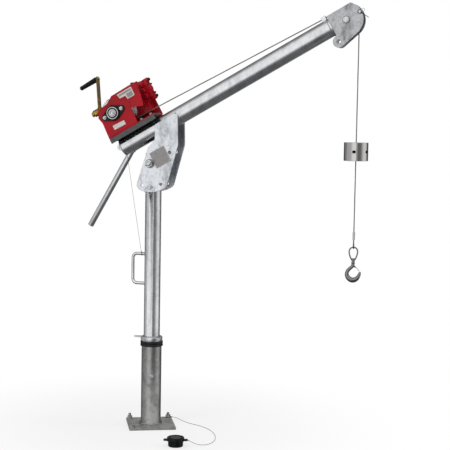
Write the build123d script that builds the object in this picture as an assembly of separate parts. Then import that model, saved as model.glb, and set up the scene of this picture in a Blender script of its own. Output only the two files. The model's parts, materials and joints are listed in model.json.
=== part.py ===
from build123d import *
from math import atan2, cos, degrees, hypot, radians, sin, sqrt, tan
import os

os.makedirs("parts", exist_ok=True)

# Portable davit crane. Millimetres, +Z up, origin at the centre of the base plate's underside.
# In the rest pose the boom points along +X, 29.5 degrees above level.

# Pedestal
plate_side = 254.0
plate_thickness = 12.7
plate_turn = 26.0
anchor_circle = 304.8
anchor_hole = 17.5
sleeve_diameter = 110.0
sleeve_wall = 6.5
sleeve_top = 445.0
foot_weld = 8.0
thrust_pad_thickness = 20.0
thrust_pad_rim = 35.0
bushing_length = 60.0
seal_height = 28.0
seal_diameter = 124.0

# Mast
mast_diameter = 88.9
mast_wall = 6.35
mast_above_pivot = 55.0
mast_fit = 0.06
collar_diameter = 118.0
collar_height = 25.0
pointer_reach = 103.0
handle_rod = 17.0
handle_low = 788.0
handle_high = 951.0
handle_reach = 115.0
handle_bend = 24.0

# Pivot and lock holes
pivot_height = 1449.0
boom_angle = 29.5
pivot_bolt_diameter = 25.4
lock_circle = 127.0
lock_pin_diameter = 16.0
high_angle = 50.0
level_angle = 0.0
stow_angle = -90.0

# Boom
boom_diameter = 95.25
boom_wall = 4.8
boom_rise = 156.0
boom_rear = -110.0
boom_end_to_sheave = 92.0
end_plate_thickness = 10.0
bracket_thickness = 12.0
bracket_radius = 156.0
lever_diameter = 32.0
lever_wall = 3.0
lever_length = 462.0
lever_angle = 30.6

# Boom head
cheek_gap = 48.0
cheek_thickness = 8.0
cheek_top = 58.0
nose_radius = 89.0
sheave_along = 1292.0
sheave_rise = 147.0
rope_pitch_radius = 62.0
sheave_rim_radius = 66.0
sheave_rim_width = 24.0
sheave_hub_radius = 18.0
sheave_bolt_diameter = 20.0
keeper_reach = 82.0
keeper_diameter = 9.5
lobe_back = 87.0
lobe_drop = 78.4
lobe_radius = 31.0
lobe_hole = 22.0
guide_length = 24.0
guide_width = 32.0
guide_slot = 16.0
guide_top = 70.0

# Rope and load line
rope_diameter = 6.35
weight_diameter = 127.0
weight_height = 95.0
weight_centre_height = 1539.0
weight_seam = 1.0
weight_turn = -54.4
weight_screw_reach = 35.0
weight_screw_head = 8.0
swage_top = 1123.0
swage_length = 43.0
swage_radius = 6.5
hook_turn = 17.0
thimble_length = 48.0
thimble_radius = 15.0
ring_wire = 6.0
ring_half_width = 25.0
ring_length = 76.0
collar_radius = 9.0
collar_length = 12.0
stem_radius = 4.0
stem_head_radius = 8.0
latch_width = 12.0
latch_thickness = 2.4
latch_knuckle_radius = 2.5
latch_root = (10.5, -17.0)
latch_tip = (33.0, -40.0)
tether_diameter = 2.0
tether_top = (-111.0, 103.0)
tether_foot = -62.0

# Winch
mount_height = 19.4
mount_thickness = 8.0
mount_flange = 27.0
mount_half_width = 70.0
frame_thickness = 6.0
frame_height = 203.0
frame_rear = 91.0
frame_front = 199.0
near_plate_y = -70.0
far_plate_y = 80.0
drum_along = -50.0
drum_height = 113.0
drum_radius = 66.0
drum_flange_radius = 80.0
drum_flange_thickness = 4.0
drum_near_y = -58.0
drum_far_y = 17.0
drum_shaft_radius = 16.0
guard_radius = 100.0
guard_thickness = 4.0
guard_low_angle = -38.0
bearing_radius = 34.0
bearing_insert_radius = 30.0
bearing_height = 22.0
bearing_bolt_reach = 54.0
worm_above_drum = 74.0
worm_y = 50.0
worm_tube_radius = 27.0
worm_tube_rear = -95.0
case_near_y = 22.0
case_boss_radius = 11.0
wheel_case_radius = 96.0
cover_thickness = 20.0
cover_lug_radius = 13.0
crank_shaft_radius = 12.0
crank_shaft_depth = 110.0
crank_shaft_tail = 45.0
crank_plane = -160.0
crank_length = 300.0
crank_angle = 45.0
crank_bar = 28.0
crank_bar_thickness = 8.0
grip_length = 112.0
grip_radius = 16.0

running_fit = 0.06
face_gap = 0.3

boom_front = sheave_along - boom_end_to_sheave
boom_radius = boom_diameter / 2
mast_radius = mast_diameter / 2
bracket_inner = boom_radius
bracket_outer = bracket_inner + bracket_thickness
cheek_outer = cheek_gap / 2 + cheek_thickness
winch_base = boom_rise + boom_radius + mount_height
winch_rear = drum_along - frame_rear
winch_front = drum_along + frame_front
drum_rise = winch_base + drum_height
worm_rise = drum_rise + worm_above_drum
rope_layer_radius = drum_radius + rope_diameter / 2 + face_gap


def save(shape, name):
    export_step(shape, "parts/" + name + ".step")


def on_boom(shape):
    return Location((0, 0, pivot_height), (0, -boom_angle, 0)) * shape


def boom_point(along, rise):
    a = radians(boom_angle)
    return (along * cos(a) - rise * sin(a), pivot_height + along * sin(a) + rise * cos(a))


def rod_x(radius, x0, x1, y=0, z=0):
    return Pos((x0 + x1) / 2, y, z) * Rot(0, 90, 0) * Cylinder(radius, x1 - x0)


def rod_y(radius, y0, y1, x=0, z=0):
    return Pos(x, (y0 + y1) / 2, z) * Rot(90, 0, 0) * Cylinder(radius, y1 - y0)


def rod_z(radius, z0, z1, x=0, y=0):
    return Pos(x, y, (z0 + z1) / 2) * Cylinder(radius, z1 - z0)


def block(x0, x1, y0, y1, z0, z1):
    return Pos((x0 + x1) / 2, (y0 + y1) / 2, (z0 + z1) / 2) * Box(x1 - x0, y1 - y0, z1 - z0)


def slab_y(face, y0, y1):
    return extrude(Plane.XZ.offset(-y1) * face, amount=y1 - y0)


def rounded_face(points, radii):
    return make_face(FilletPolyline(*points, radius=radii, close=True))


def spun_z(points):
    return revolve(Plane.XZ * make_face(Polyline(*points, close=True)), Axis.Z)


def spun_y(points):
    return revolve(make_face(Polyline(*points, close=True)), Axis.Y)


def hex_y(across, y0, y1):
    return slab_y(RegularPolygon(across / 2, 6, major_radius=False), y0, y1)


def wire_ring(radius, wire, sides=16):
    face = RegularPolygon(radius + wire / 2, sides) - RegularPolygon(radius - wire / 2, sides)
    return slab_y(face, -wire / 2, wire / 2)


def polygon_sweep(path, radius, sides):
    return sweep(Plane(path @ 0, z_dir=path % 0) * RegularPolygon(radius, sides), path)


# Pedestal

def base_plate():
    plate = block(-plate_side / 2, plate_side / 2, -plate_side / 2, plate_side / 2, 0, plate_thickness)
    plate = fillet(plate.edges().filter_by(Axis.Z), 4)
    reach = anchor_circle / 2 * cos(radians(45))
    for x in (-reach, reach):
        for y in (-reach, reach):
            plate -= rod_z(anchor_hole / 2, -1, plate_thickness + 1, x, y)
    return Rot(0, 0, plate_turn) * plate


def base_sleeve():
    r = sleeve_diameter / 2
    bore = r - sleeve_wall
    z0 = plate_thickness
    return spun_z([(bore, z0), (r + foot_weld, z0), (r, z0 + foot_weld), (r, sleeve_top), (bore, sleeve_top)])


def thrust_pad():
    bore = sleeve_diameter / 2 - sleeve_wall
    z0 = plate_thickness
    z1 = z0 + thrust_pad_thickness
    z2 = z1 + thrust_pad_rim
    r = mast_radius + mast_fit
    return spun_z([(0, z0), (bore, z0), (bore, z2), (r, z2), (r, z1), (0, z1)])


def top_bushing():
    bore = sleeve_diameter / 2 - sleeve_wall
    r = mast_radius + mast_fit
    z0 = sleeve_top - bushing_length
    return spun_z([(r, z0), (bore, z0), (bore, sleeve_top), (r, sleeve_top)])


def seal_ring():
    inner = mast_radius + face_gap
    z0 = sleeve_top
    z1 = z0 + seal_height
    return rod_z(seal_diameter / 2, z0, z1) - rod_z(inner, z0 - 1, z1 + 1)


# Mast

def mast_tube():
    z0 = plate_thickness + thrust_pad_thickness + face_gap
    z1 = pivot_height + mast_above_pivot
    tube = rod_z(mast_radius, z0, z1) - rod_z(mast_radius - mast_wall, z0 - 1, z1 + 1)
    tube -= rod_y(pivot_bolt_diameter / 2 + running_fit, -mast_diameter, mast_diameter, 0, pivot_height)
    tube -= rod_y(lock_pin_diameter / 2 + 1, -mast_diameter, mast_diameter, 0, pivot_height - lock_circle)
    return tube


def mast_collar():
    z0 = sleeve_top + seal_height + face_gap
    z1 = z0 + collar_height
    outer = collar_diameter / 2
    ring = spun_z([(mast_radius, z0), (outer, z0), (outer, z1 - 4), (outer - 4, z1), (mast_radius, z1)])
    tab = Polyline((-pointer_reach, -4), (-pointer_reach, 4), (-outer + 8, 16), (-outer + 8, -16), close=True)
    return ring + extrude(Pos(0, 0, z1 - 12) * make_face(tab), amount=8)


def mast_handle():
    root = -mast_radius + 3
    path = FilletPolyline((root, 0, handle_low), (-handle_reach, 0, handle_low),
                          (-handle_reach, 0, handle_high), (root, 0, handle_high), radius=handle_bend)
    rod = polygon_sweep(path, handle_rod / 2, 10)
    return rod - rod_z(mast_radius, handle_low - 50, handle_high + 50)


# Boom and its bracket, drawn with the boom along X and the pivot at the origin

def arc_point(radius, lean):
    return (radius * sin(radians(lean)), -radius * cos(radians(lean)))


def lock_hole(angle):
    return arc_point(lock_circle, -angle)


def bracket_plate(side):
    r = bracket_radius
    front_foot = arc_point(r, 8.9)
    rear_foot = arc_point(r, -51.5)
    heel = (-0.827 * r, -0.436 * r)
    notch_low = (0.192 * r, 0.513 * r)
    notch_high = (0.551 * r, 0.647 * r)
    top_rear = (0.801 * r, 1.096 * r)
    top_front = (1.75 * r, 1.096 * r)
    elbow = (1.212 * r, 0.077 * r)
    corners = [top_rear, top_front, elbow, front_foot]
    outline = [Line(a, b) for a, b in zip(corners, corners[1:])]
    outline += [ThreePointArc(front_foot, arc_point(r, -21), rear_foot)]
    corners = [rear_foot, heel, notch_low, notch_high, top_rear]
    outline += [Line(a, b) for a, b in zip(corners, corners[1:])]
    face = make_face(outline)
    for corner, radius in ((top_front, 18), (elbow, 60), (front_foot, 30), (rear_foot, 16), (heel, 16),
                           (notch_high, 14), (top_rear, 10)):
        face = fillet(face.vertices().sort_by_distance((*corner, 0))[0], radius)
    for angle in (high_angle, boom_angle, level_angle, stow_angle):
        face -= Pos(*lock_hole(angle)) * Circle(lock_pin_diameter / 2)
    face -= Circle(pivot_bolt_diameter / 2)
    y0 = bracket_inner if side > 0 else -bracket_outer
    return on_boom(slab_y(face, y0, y0 + bracket_thickness))


def pivot_bolt():
    d = pivot_bolt_diameter
    bolt = rod_y(d / 2, -bracket_outer - 1.35 * d, bracket_outer + 1)
    bolt += hex_y(1.5 * d, bracket_outer, bracket_outer + 0.65 * d)
    bolt += hex_y(1.5 * d, -bracket_outer - 0.9 * d, -bracket_outer)
    return on_boom(bolt)


def lock_pin():
    x, z = lock_hole(boom_angle)
    r = lock_pin_diameter / 2
    near = rod_y(r, -bracket_outer - 1, -bracket_inner, x, z)
    near += rod_y(r + 4, -bracket_outer - 14, -bracket_outer, x, z)
    far = rod_y(r, bracket_inner, bracket_outer + 20, x, z)
    return Compound([on_boom(near), on_boom(far)])


def lock_pin_ring():
    x, z = boom_point(*lock_hole(boom_angle))
    return Pos(x, -bracket_outer - 16, z - 19) * wire_ring(22, 4)


def id_plate():
    r = bracket_radius
    return on_boom(block(0.14 * r, 0.74 * r, -bracket_outer - 1.5, -bracket_outer, -0.275 * r, 0.315 * r))


def boom_tube():
    tube = rod_x(boom_radius, boom_rear, boom_front, 0, boom_rise)
    return on_boom(tube - rod_x(boom_radius - boom_wall, boom_rear - 1, boom_front + 1, 0, boom_rise))


def boom_rear_cap():
    x0 = boom_rear - 6
    x1 = x0 - 14
    z = boom_rise + 12
    cap = rod_x(boom_radius, x0, boom_rear, 0, boom_rise)
    lug = Pos((x0 + x1) / 2, z) * Rectangle(x0 - x1, 36) + Pos(x1, z) * Circle(18)
    lug -= Pos(x1, z) * Circle(7)
    return on_boom(cap + slab_y(lug, -5, 5))


def boom_lever():
    a = radians(lever_angle)
    start = (-98.7, boom_rise - boom_radius)
    lead = 70.0
    length = lever_length + lead
    tube = rod_x(lever_diameter / 2, 0, length) - rod_x(lever_diameter / 2 - lever_wall, -1, length - 3)
    place = Location((start[0] + lead * cos(a), 0, start[1] + lead * sin(a)), (0, 180 - lever_angle, 0))
    lever = place * tube
    lever -= block(boom_rear - 6, 0, -60, 60, boom_rise, boom_rise + 100)
    return on_boom(lever - rod_x(boom_radius, boom_rear - 60, 0, 0, boom_rise))


def boom_front_plate():
    return on_boom(rod_x(boom_radius, boom_front, boom_front + end_plate_thickness, 0, boom_rise))


def cheek(side):
    rear = boom_front + end_plate_thickness
    top = boom_rise + cheek_top
    lobe = (sheave_along - lobe_back, sheave_rise - lobe_drop)
    slack = nose_radius - lobe_radius
    lean = atan2(lobe_drop, lobe_back) - atan2(slack, sqrt(lobe_back ** 2 + lobe_drop ** 2 - slack ** 2))
    normal = (sin(lean), -cos(lean))
    nose_foot = (sheave_along + nose_radius * normal[0], sheave_rise + nose_radius * normal[1])
    lobe_foot = (lobe[0] + lobe_radius * normal[0], lobe[1] + lobe_radius * normal[1])
    nose = Pos(sheave_along, sheave_rise) * Circle(nose_radius)
    nose -= Pos(sheave_along, top + nose_radius) * Rectangle(4 * nose_radius, 2 * nose_radius)
    nose -= Pos(rear - nose_radius, sheave_rise) * Rectangle(2 * nose_radius, 4 * nose_radius)
    corners = [(rear, top), (sheave_along, top), nose_foot, lobe_foot, (rear, lobe[1])]
    face = nose + make_face(Polyline(*corners, close=True))
    face += Pos(*lobe) * Circle(lobe_radius)
    face -= Pos(*lobe) * Circle(lobe_hole / 2)
    face -= Pos(sheave_along, sheave_rise) * Circle(sheave_bolt_diameter / 2)
    face -= Pos(sheave_along + keeper_reach, sheave_rise) * Circle(keeper_diameter / 2)
    y0 = cheek_gap / 2 if side > 0 else -cheek_outer
    return on_boom(slab_y(face, y0, y0 + cheek_thickness))


def sheave():
    hub = cheek_gap / 2 - 1
    rim = sheave_rim_width / 2
    bore = sheave_bolt_diameter / 2 + running_fit
    root = rope_pitch_radius - rope_diameter / 2 - face_gap
    half = [(bore, hub), (sheave_hub_radius, hub), (sheave_hub_radius, rim), (sheave_rim_radius, rim),
            (root, rope_diameter / 2)]
    wheel = spun_y(half + [(radius, -y) for radius, y in reversed(half)])
    return on_boom(Pos(sheave_along, 0, sheave_rise) * wheel)


def sheave_bolt():
    d = sheave_bolt_diameter
    bolt = rod_y(d / 2, -cheek_outer - 0.8 * d, cheek_outer + 1.1 * d)
    bolt += hex_y(1.5 * d, -cheek_outer - 0.6 * d, -cheek_outer)
    bolt += hex_y(1.5 * d, cheek_outer, cheek_outer + 0.8 * d)
    return on_boom(Pos(sheave_along, 0, sheave_rise) * bolt)


def keeper_pin():
    d = keeper_diameter
    pin = rod_y(d / 2, -cheek_outer - 1.2 * d, cheek_outer + 1.5 * d)
    pin += rod_y(0.85 * d, -cheek_outer - 4, -cheek_outer)
    return on_boom(Pos(sheave_along + keeper_reach, 0, sheave_rise) * pin)


def rope_guide():
    x1 = boom_front
    x0 = x1 - guide_length
    z0 = boom_rise + boom_radius - 6
    z1 = boom_rise + guide_top
    shell = block(x0, x1, -guide_width / 2, guide_width / 2, z0, z1)
    shell -= block(x0 - 5, x1 + 5, -guide_slot / 2, guide_slot / 2, boom_rise, z1 - 8)
    return on_boom(shell - rod_x(boom_radius, x0 - 9, x1 + 9, 0, boom_rise))


def run_slope():
    dx = sheave_along - drum_along
    dz = sheave_rise - drum_rise
    span = hypot(dx, dz)
    return atan2(dz, dx) + atan2(rope_pitch_radius + rope_layer_radius, sqrt(
        span ** 2 - (rope_pitch_radius + rope_layer_radius) ** 2))


def rope_run():
    a = run_slope()
    start = (drum_along + rope_layer_radius * sin(a), drum_rise - rope_layer_radius * cos(a))
    end = (sheave_along - rope_pitch_radius * sin(a), sheave_rise + rope_pitch_radius * cos(a))
    length = hypot(end[0] - start[0], end[1] - start[1])
    rope = rod_x(rope_diameter / 2, 0, length)
    return on_boom(Location((start[0], 0, start[1]), (0, -degrees(a), 0)) * rope)


def rope_wrap():
    start = 90 + degrees(run_slope())
    end = -boom_angle
    arc = CenterArc((0, 0), rope_pitch_radius, start, end - start)
    rope = polygon_sweep(Plane.XZ * arc, rope_diameter / 2, 8)
    return on_boom(Pos(sheave_along, 0, sheave_rise) * rope)


# Winch, in the boom's frame

def winch_point(across, up):
    return (drum_along + across * guard_radius, winch_base + up * frame_height)


def winch_outline(points, radii):
    return rounded_face([winch_point(across, up) for across, up in points], radii)


def winch_mount():
    z0 = winch_base - mount_thickness
    low = winch_base - mount_flange
    side = mount_half_width - mount_thickness
    channel = block(winch_rear, winch_front, -mount_half_width, mount_half_width, low, winch_base)
    channel -= block(winch_rear - 9, winch_front + 9, -side, side, low - 9, z0)
    rib = 12
    for x in (winch_rear + 30, winch_front - 30 - rib):
        channel += block(x, x + rib, -side - 1, side + 1, low, z0)
    return on_boom(channel - rod_x(boom_radius, winch_rear - 9, winch_front + 9, 0, boom_rise))


def winch_near_plate():
    points = [(-0.91, 0), (-0.85, 0.473), (-0.94, 0.64), (-0.75, 0.828), (-0.4, 0.798), (-0.18, 0.852),
              (0.14, 0.941), (0.31, 0.99), (1.91, 1), (1.84, 0.626), (1.7, 0.31), (1.08, 0.46), (0.93, 0.42),
              (0.93, 0.25), (0.99, 0)]
    face = winch_outline(points, [4, 20, 18, 16, 10, 10, 10, 12, 10, 20, 10, 10, 12, 16, 4])
    face -= Pos(drum_along, drum_rise) * Circle(drum_shaft_radius + 2)
    return on_boom(slab_y(face, near_plate_y, near_plate_y + frame_thickness))


def winch_far_plate():
    points = [(-0.91, 0), (-0.91, 0.72), (-0.6, 1), (1.9, 1), (1.99, 0.43), (1.99, 0)]
    face = winch_outline(points, [4, 30, 20, 16, 20, 4])
    face -= Pos(drum_along, drum_rise) * Circle(drum_shaft_radius + 1)
    return on_boom(slab_y(face, far_plate_y, far_plate_y + frame_thickness))


def winch_floor():
    return on_boom(block(winch_rear, winch_front, near_plate_y + frame_thickness, far_plate_y, winch_base,
                         winch_base + frame_thickness))


def drum_guard():
    outer = guard_radius + guard_thickness
    reach = 3 * outer
    low = reach * tan(radians(guard_low_angle))
    sector = make_face(Polyline((0, 0), (reach, low), (reach, reach), (0, reach), close=True))
    face = (Circle(outer) - Circle(guard_radius)) & sector
    room = winch_base + frame_height - 2 - drum_rise
    face -= Pos(0, room + outer) * Rectangle(4 * outer, 2 * outer)
    return on_boom(Pos(drum_along, 0, drum_rise) * slab_y(face, near_plate_y + frame_thickness, case_near_y))


def flange_bearing():
    y0 = near_plate_y - bearing_height
    body = rod_y(bearing_radius, y0, near_plate_y)
    body += slab_y(SlotCenterToCenter(2 * bearing_bolt_reach, 36), near_plate_y - 10, near_plate_y)
    body -= rod_y(bearing_insert_radius, y0 - 1, near_plate_y + 1)
    for x in (-bearing_bolt_reach, bearing_bolt_reach):
        body += hex_y_at(15, near_plate_y - 18, near_plate_y - 10, x)
    return on_boom(Pos(drum_along, 0, drum_rise) * body)


def hex_y_at(across, y0, y1, x=0, z=0):
    return Pos(x, 0, z) * hex_y(across, y0, y1)


def bearing_insert():
    y0 = near_plate_y - bearing_height
    ring = rod_y(bearing_insert_radius, y0 - 2, near_plate_y) - rod_y(drum_shaft_radius + 6, y0 - 3, y0 + 3)
    ring -= rod_y(drum_shaft_radius + running_fit, y0 - 9, near_plate_y + 1)
    return on_boom(Pos(drum_along, 0, drum_rise) * ring)


def worm_housing():
    points = [(0.62, 0.19), (1.72, 0.19), (1.72, 0.43), (1.95, 0.53), (1.95, 1.03), (0.62, 1.03)]
    case = slab_y(winch_outline(points, [4, 4, 4, 12, 16, 4]), case_near_y, far_plate_y)
    case += rod_x(worm_tube_radius, worm_tube_rear, drum_along + 195, worm_y, worm_rise)
    case += rod_y(wheel_case_radius, case_near_y + 2, far_plate_y, drum_along, drum_rise)
    for up in (0.6, 0.76, 0.92):
        x, z = winch_point(1.8, up)
        case += rod_y(case_boss_radius, case_near_y - 8, case_near_y + 34, x, z)
    case -= rod_y(drum_shaft_radius + 1, case_near_y - 9, far_plate_y + 9, drum_along, drum_rise)
    case -= rod_x(crank_shaft_radius + running_fit, winch_rear - 9, drum_along + 130, worm_y, worm_rise)
    return on_boom(case)


def gear_cover():
    x0 = winch_point(1.95, 0)[0]
    z0 = winch_point(0, 0.5)[1]
    z1 = winch_point(0, 0.99)[1]
    cover = block(x0, x0 + cover_thickness, case_near_y + 6, far_plate_y - 1, z0, z1)
    cover = fillet(cover.edges().filter_by(Axis.X), 12)
    for z in (z0, z1):
        cover += rod_x(cover_lug_radius, x0, x0 + 1.4 * cover_thickness, (case_near_y + far_plate_y) / 2, z)
    return on_boom(cover)


def drum():
    y0 = drum_near_y
    y1 = drum_far_y
    body = rod_y(drum_radius, y0, y1)
    body += rod_y(drum_flange_radius, y0, y0 + drum_flange_thickness)
    body += rod_y(drum_flange_radius, y1 - drum_flange_thickness, y1)
    body += rod_y(drum_shaft_radius, near_plate_y - bearing_height + 3, far_plate_y)
    return on_boom(Pos(drum_along, 0, drum_rise) * body)


def rope_coil():
    y0 = drum_near_y + drum_flange_thickness
    y1 = -rope_diameter / 2 - face_gap
    coil = rod_y(drum_radius + rope_diameter, y0, y1) - rod_y(drum_radius, y0 - 1, y1 + 1)
    return on_boom(Pos(drum_along, 0, drum_rise) * coil)


def crank_hub():
    x = crank_plane - crank_bar_thickness / 2
    hub = rod_x(crank_shaft_radius, x - crank_shaft_tail, drum_along + crank_shaft_depth, worm_y, worm_rise)
    hub += rod_x(1.6 * crank_shaft_radius, x - 10, x, worm_y, worm_rise)
    nut = Rot(0, 0, -90) * hex_y(34, 0, 18)
    hub += Pos(x - 28, worm_y, worm_rise) * nut
    return on_boom(hub)


def on_crank(shape):
    return on_boom(Location((crank_plane, worm_y, worm_rise), (-crank_angle, 0, 0)) * shape)


def crank_arm():
    t = crank_bar_thickness / 2
    w = crank_bar / 2
    arm = block(-t, t, -w, w, 0, crank_length) + rod_x(w, -t, t, 0, crank_length) + rod_x(w, -t, t)
    return on_crank(arm - rod_x(crank_shaft_radius, -9, 9))


def crank_grip():
    x = -crank_bar_thickness / 2
    start = x - 5
    thick = Plane((start, 0, crank_length), z_dir=(-1, 0, 0)) * RegularPolygon(grip_radius, 16)
    thin = Plane((start - grip_length, 0, crank_length), z_dir=(-1, 0, 0)) * RegularPolygon(0.75 * grip_radius, 16)
    pin = rod_x(6, x - 9, x, 0, crank_length)
    return on_crank(loft([thick, thin]) + pin)


# Load line: world frame, the fall hangs plumb from the front of the sheave

sheave_x, sheave_z = boom_point(sheave_along, sheave_rise)
fall_x = sheave_x + rope_pitch_radius
weight_top = weight_centre_height + weight_height / 2
weight_bottom = weight_centre_height - weight_height / 2


def rope_fall():
    return rod_z(rope_diameter / 2, weight_top, sheave_z, fall_x)


def rope_tail():
    return rod_z(rope_diameter / 2, swage_top, weight_top, fall_x)


def weight_half(side):
    d = weight_diameter
    half = rod_z(d / 2, weight_bottom, weight_top)
    half -= rod_z(rope_diameter / 2, weight_bottom - 1, weight_top + 1)
    half &= block(weight_seam / 2, d, -d, d, weight_bottom, weight_top)
    if side < 0:
        half = Rot(0, 0, 180) * half
    else:
        for y in (-weight_screw_reach, weight_screw_reach):
            half -= rod_x(weight_screw_head, d / 4, d, y, weight_centre_height)
    return Pos(fall_x, 0, 0) * Rot(0, 0, weight_turn) * half


def swage():
    return rod_z(swage_radius, swage_top - swage_length, swage_top - face_gap, fall_x)


def on_hook(shape, height):
    return Pos(fall_x, 0, height) * Rot(0, 0, hook_turn) * shape


def teardrop(radius, length, neck):
    arc = [(radius * sin(radians(a)), -radius * cos(radians(a))) for a in range(-90, 91, 20)]
    return make_face(Polyline(*arc, (neck, length - radius), (-neck, length - radius), close=True))


thimble_top = swage_top - swage_length - face_gap
thimble_bottom = thimble_top - thimble_length
ring_top = thimble_bottom + 2 * ring_wire + 1


def thimble():
    r = thimble_radius
    w = ring_wire
    face = teardrop(r, thimble_length, 3) - teardrop(r - w, thimble_length - 3 * w, 1)
    return on_hook(Rot(0, 0, 90) * slab_y(face, -w / 2, w / 2), thimble_bottom + r)


def swivel_eye():
    r = ring_half_width
    w = ring_wire
    face = teardrop(r, ring_length, collar_radius) - teardrop(r - w, ring_length - 2 * w, collar_radius)
    z1 = r - ring_length
    z0 = z1 - collar_length
    eye = Rot(0, 180, 0) * slab_y(face, -w / 2, w / 2) + rod_z(collar_radius, z0, z1)
    eye -= rod_z(stem_radius + face_gap, z0 - 1, z1 + w + 1)
    return on_hook(eye, ring_top - r)


hook_top = ring_top - ring_length - collar_length - face_gap
hook_stations = [(0, 0, 9), (0, -12, 9.5), (-19, -26, 9.5), (-32, -46, 10), (-30, -69, 12), (-7, -88, 14.5),
                 (17, -83, 13), (32, -65, 9.5), (37, -46, 5)]


def hook_section(index):
    x, z, radius = hook_stations[index]
    before = hook_stations[max(index - 1, 0)]
    after = hook_stations[min(index + 1, len(hook_stations) - 1)]
    along = (after[0] - before[0], 0, after[1] - before[1])
    return Plane((x, 0, z), x_dir=(0, 1, 0), z_dir=along) * RegularPolygon(radius, 8)


def hook():
    body = loft([hook_section(index) for index in range(len(hook_stations))], ruled=True)
    head = collar_length + ring_wire + 2 * face_gap
    body += rod_z(stem_radius, -1, head + 1) + rod_z(stem_head_radius, head, head + 9)
    return on_hook(body, hook_top)


def hook_latch():
    length = hypot(latch_tip[0] - latch_root[0], latch_tip[1] - latch_root[1])
    lean = degrees(atan2(latch_root[1] - latch_tip[1], latch_tip[0] - latch_root[0]))
    half = latch_width / 2
    tongue = Rot(0, lean, 0) * block(0, length, -half, half, -latch_thickness / 2, latch_thickness / 2)
    knuckle = rod_y(latch_knuckle_radius, -half, half)
    return on_hook(Pos(latch_root[0], 0, latch_root[1]) * (tongue + knuckle), hook_top)


# Base cap and its lanyard, on the floor

cap_x, cap_y = 280.0, -377.0
cap_turn = 17.3
cap_height = 50.0
cap_top_diameter = 90.0
cap_plug_diameter = 77.0
cap_ear_span = 126.0
ear_height = 33.0
lanyard_diameter = 2.4

lanyard_route = [(70, 152.4, 15.2), (97, 151.5, 13.6), (127, 137, 7.5), (162, 117, 2.4), (205, 94, 1.4),
                 (254, 73, 1.3), (300, 44, 1.3), (341, 5, 1.3), (376, -42, 1.3), (404, -94, 1.3), (425, -149, 1.3),
                 (438, -206, 1.3), (438, -258, 1.3), (424, -300, 1.6), (399, -327, 5), (371, -346, 15),
                 (345, -357, 31)]


def base_cap():
    plug = cap_plug_diameter / 2
    top = cap_top_diameter / 2
    cap = spun_z([(0, 0), (plug, 0), (plug, ear_height - 5), (top, ear_height - 1), (top, cap_height),
                  (0, cap_height)])
    cap += block(-cap_ear_span / 2, cap_ear_span / 2, -12, 12, ear_height - 5, ear_height + 5)
    cap = Pos(cap_x, cap_y, 0) * Rot(0, 0, cap_turn) * cap
    return cap + ferrule(lanyard_route[-1], lanyard_route[-2], 12)


def ferrule(end, toward, length):
    axis = Vector(*end) - Vector(*toward)
    return Plane(Vector(*end), z_dir=axis) * Pos(0, 0, length / 2) * Cylinder(lanyard_diameter, length)


def lanyard_eyelet():
    a = radians(plate_turn + 45)
    x, y = anchor_circle / 2 * cos(a), anchor_circle / 2 * sin(a)
    washer = rod_z(14, plate_thickness, plate_thickness + 2, x, y)
    neck = ferrule(lanyard_route[0], lanyard_route[1], 11)
    return washer + neck - rod_z(anchor_hole / 2, 0, 40, x, y)


def bend_radii(route):
    radii = []
    for before, here, after in zip(route, route[1:], route[2:]):
        first = Vector(*here) - Vector(*before)
        second = Vector(*after) - Vector(*here)
        turn = radians(first.get_angle(second))
        radii.append(0.45 * min(first.length, second.length) / tan(turn / 2))
    return radii


def cord(route, diameter):
    radii = bend_radii(route)
    print("cord radii", [round(radius, 1) for radius in radii])
    path = FilletPolyline(*route, radius=radii)
    tube = polygon_sweep(path, diameter / 2, 6)
    print("cord length", path.length, "volume ratio", tube.volume / (path.length * Circle(diameter / 2).area))
    return tube


# Tether wire from the boom's rear end to the mast handle

def safety_wire():
    r = tether_diameter / 2
    top = boom_point(*tether_top)
    start = Vector(top[0], -lever_diameter / 2 - r - face_gap, top[1])
    end = Vector(tether_foot, -handle_rod / 2 - r - face_gap, handle_high)
    axis = end - start
    return Plane(start, z_dir=axis) * Pos(0, 0, axis.length / 2) * Cylinder(r, axis.length)


save(base_plate(), "base_plate")
save(base_sleeve(), "base_sleeve")
save(thrust_pad(), "thrust_pad")
save(top_bushing(), "top_bushing")
save(seal_ring(), "seal_ring")
save(mast_tube(), "mast_tube")
save(mast_collar(), "mast_collar")
save(mast_handle(), "mast_handle")
save(bracket_plate(-1), "bracket_plate_near")
save(bracket_plate(1), "bracket_plate_far")
save(pivot_bolt(), "pivot_bolt")
save(lock_pin(), "lock_pin")
save(lock_pin_ring(), "lock_pin_ring")
save(id_plate(), "id_plate")
save(boom_tube(), "boom_tube")
save(boom_rear_cap(), "boom_rear_cap")
save(boom_lever(), "boom_lever")
save(boom_front_plate(), "boom_front_plate")
save(cheek(-1), "cheek_near")
save(cheek(1), "cheek_far")
save(sheave(), "sheave")
save(sheave_bolt(), "sheave_bolt")
save(keeper_pin(), "keeper_pin")
save(rope_guide(), "rope_guide")
save(rope_run(), "rope_run")
save(rope_wrap(), "rope_wrap")
save(winch_mount(), "winch_mount")
save(winch_near_plate(), "winch_near_plate")
save(winch_far_plate(), "winch_far_plate")
save(winch_floor(), "winch_floor")
save(drum_guard(), "drum_guard")
save(flange_bearing(), "flange_bearing")
save(bearing_insert(), "bearing_insert")
save(worm_housing(), "worm_housing")
save(gear_cover(), "gear_cover")
save(drum(), "drum")
save(rope_coil(), "rope_coil")
save(crank_hub(), "crank_hub")
save(crank_arm(), "crank_arm")
save(crank_grip(), "crank_grip")
save(rope_fall(), "rope_fall")
save(rope_tail(), "rope_tail")
save(weight_half(-1), "weight_rear")
save(weight_half(1), "weight_front")
save(swage(), "swage")
save(thimble(), "thimble")
save(swivel_eye(), "swivel_eye")
save(hook(), "hook")
save(hook_latch(), "hook_latch")
save(base_cap(), "base_cap")
save(lanyard_eyelet(), "lanyard_eyelet")
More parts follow.
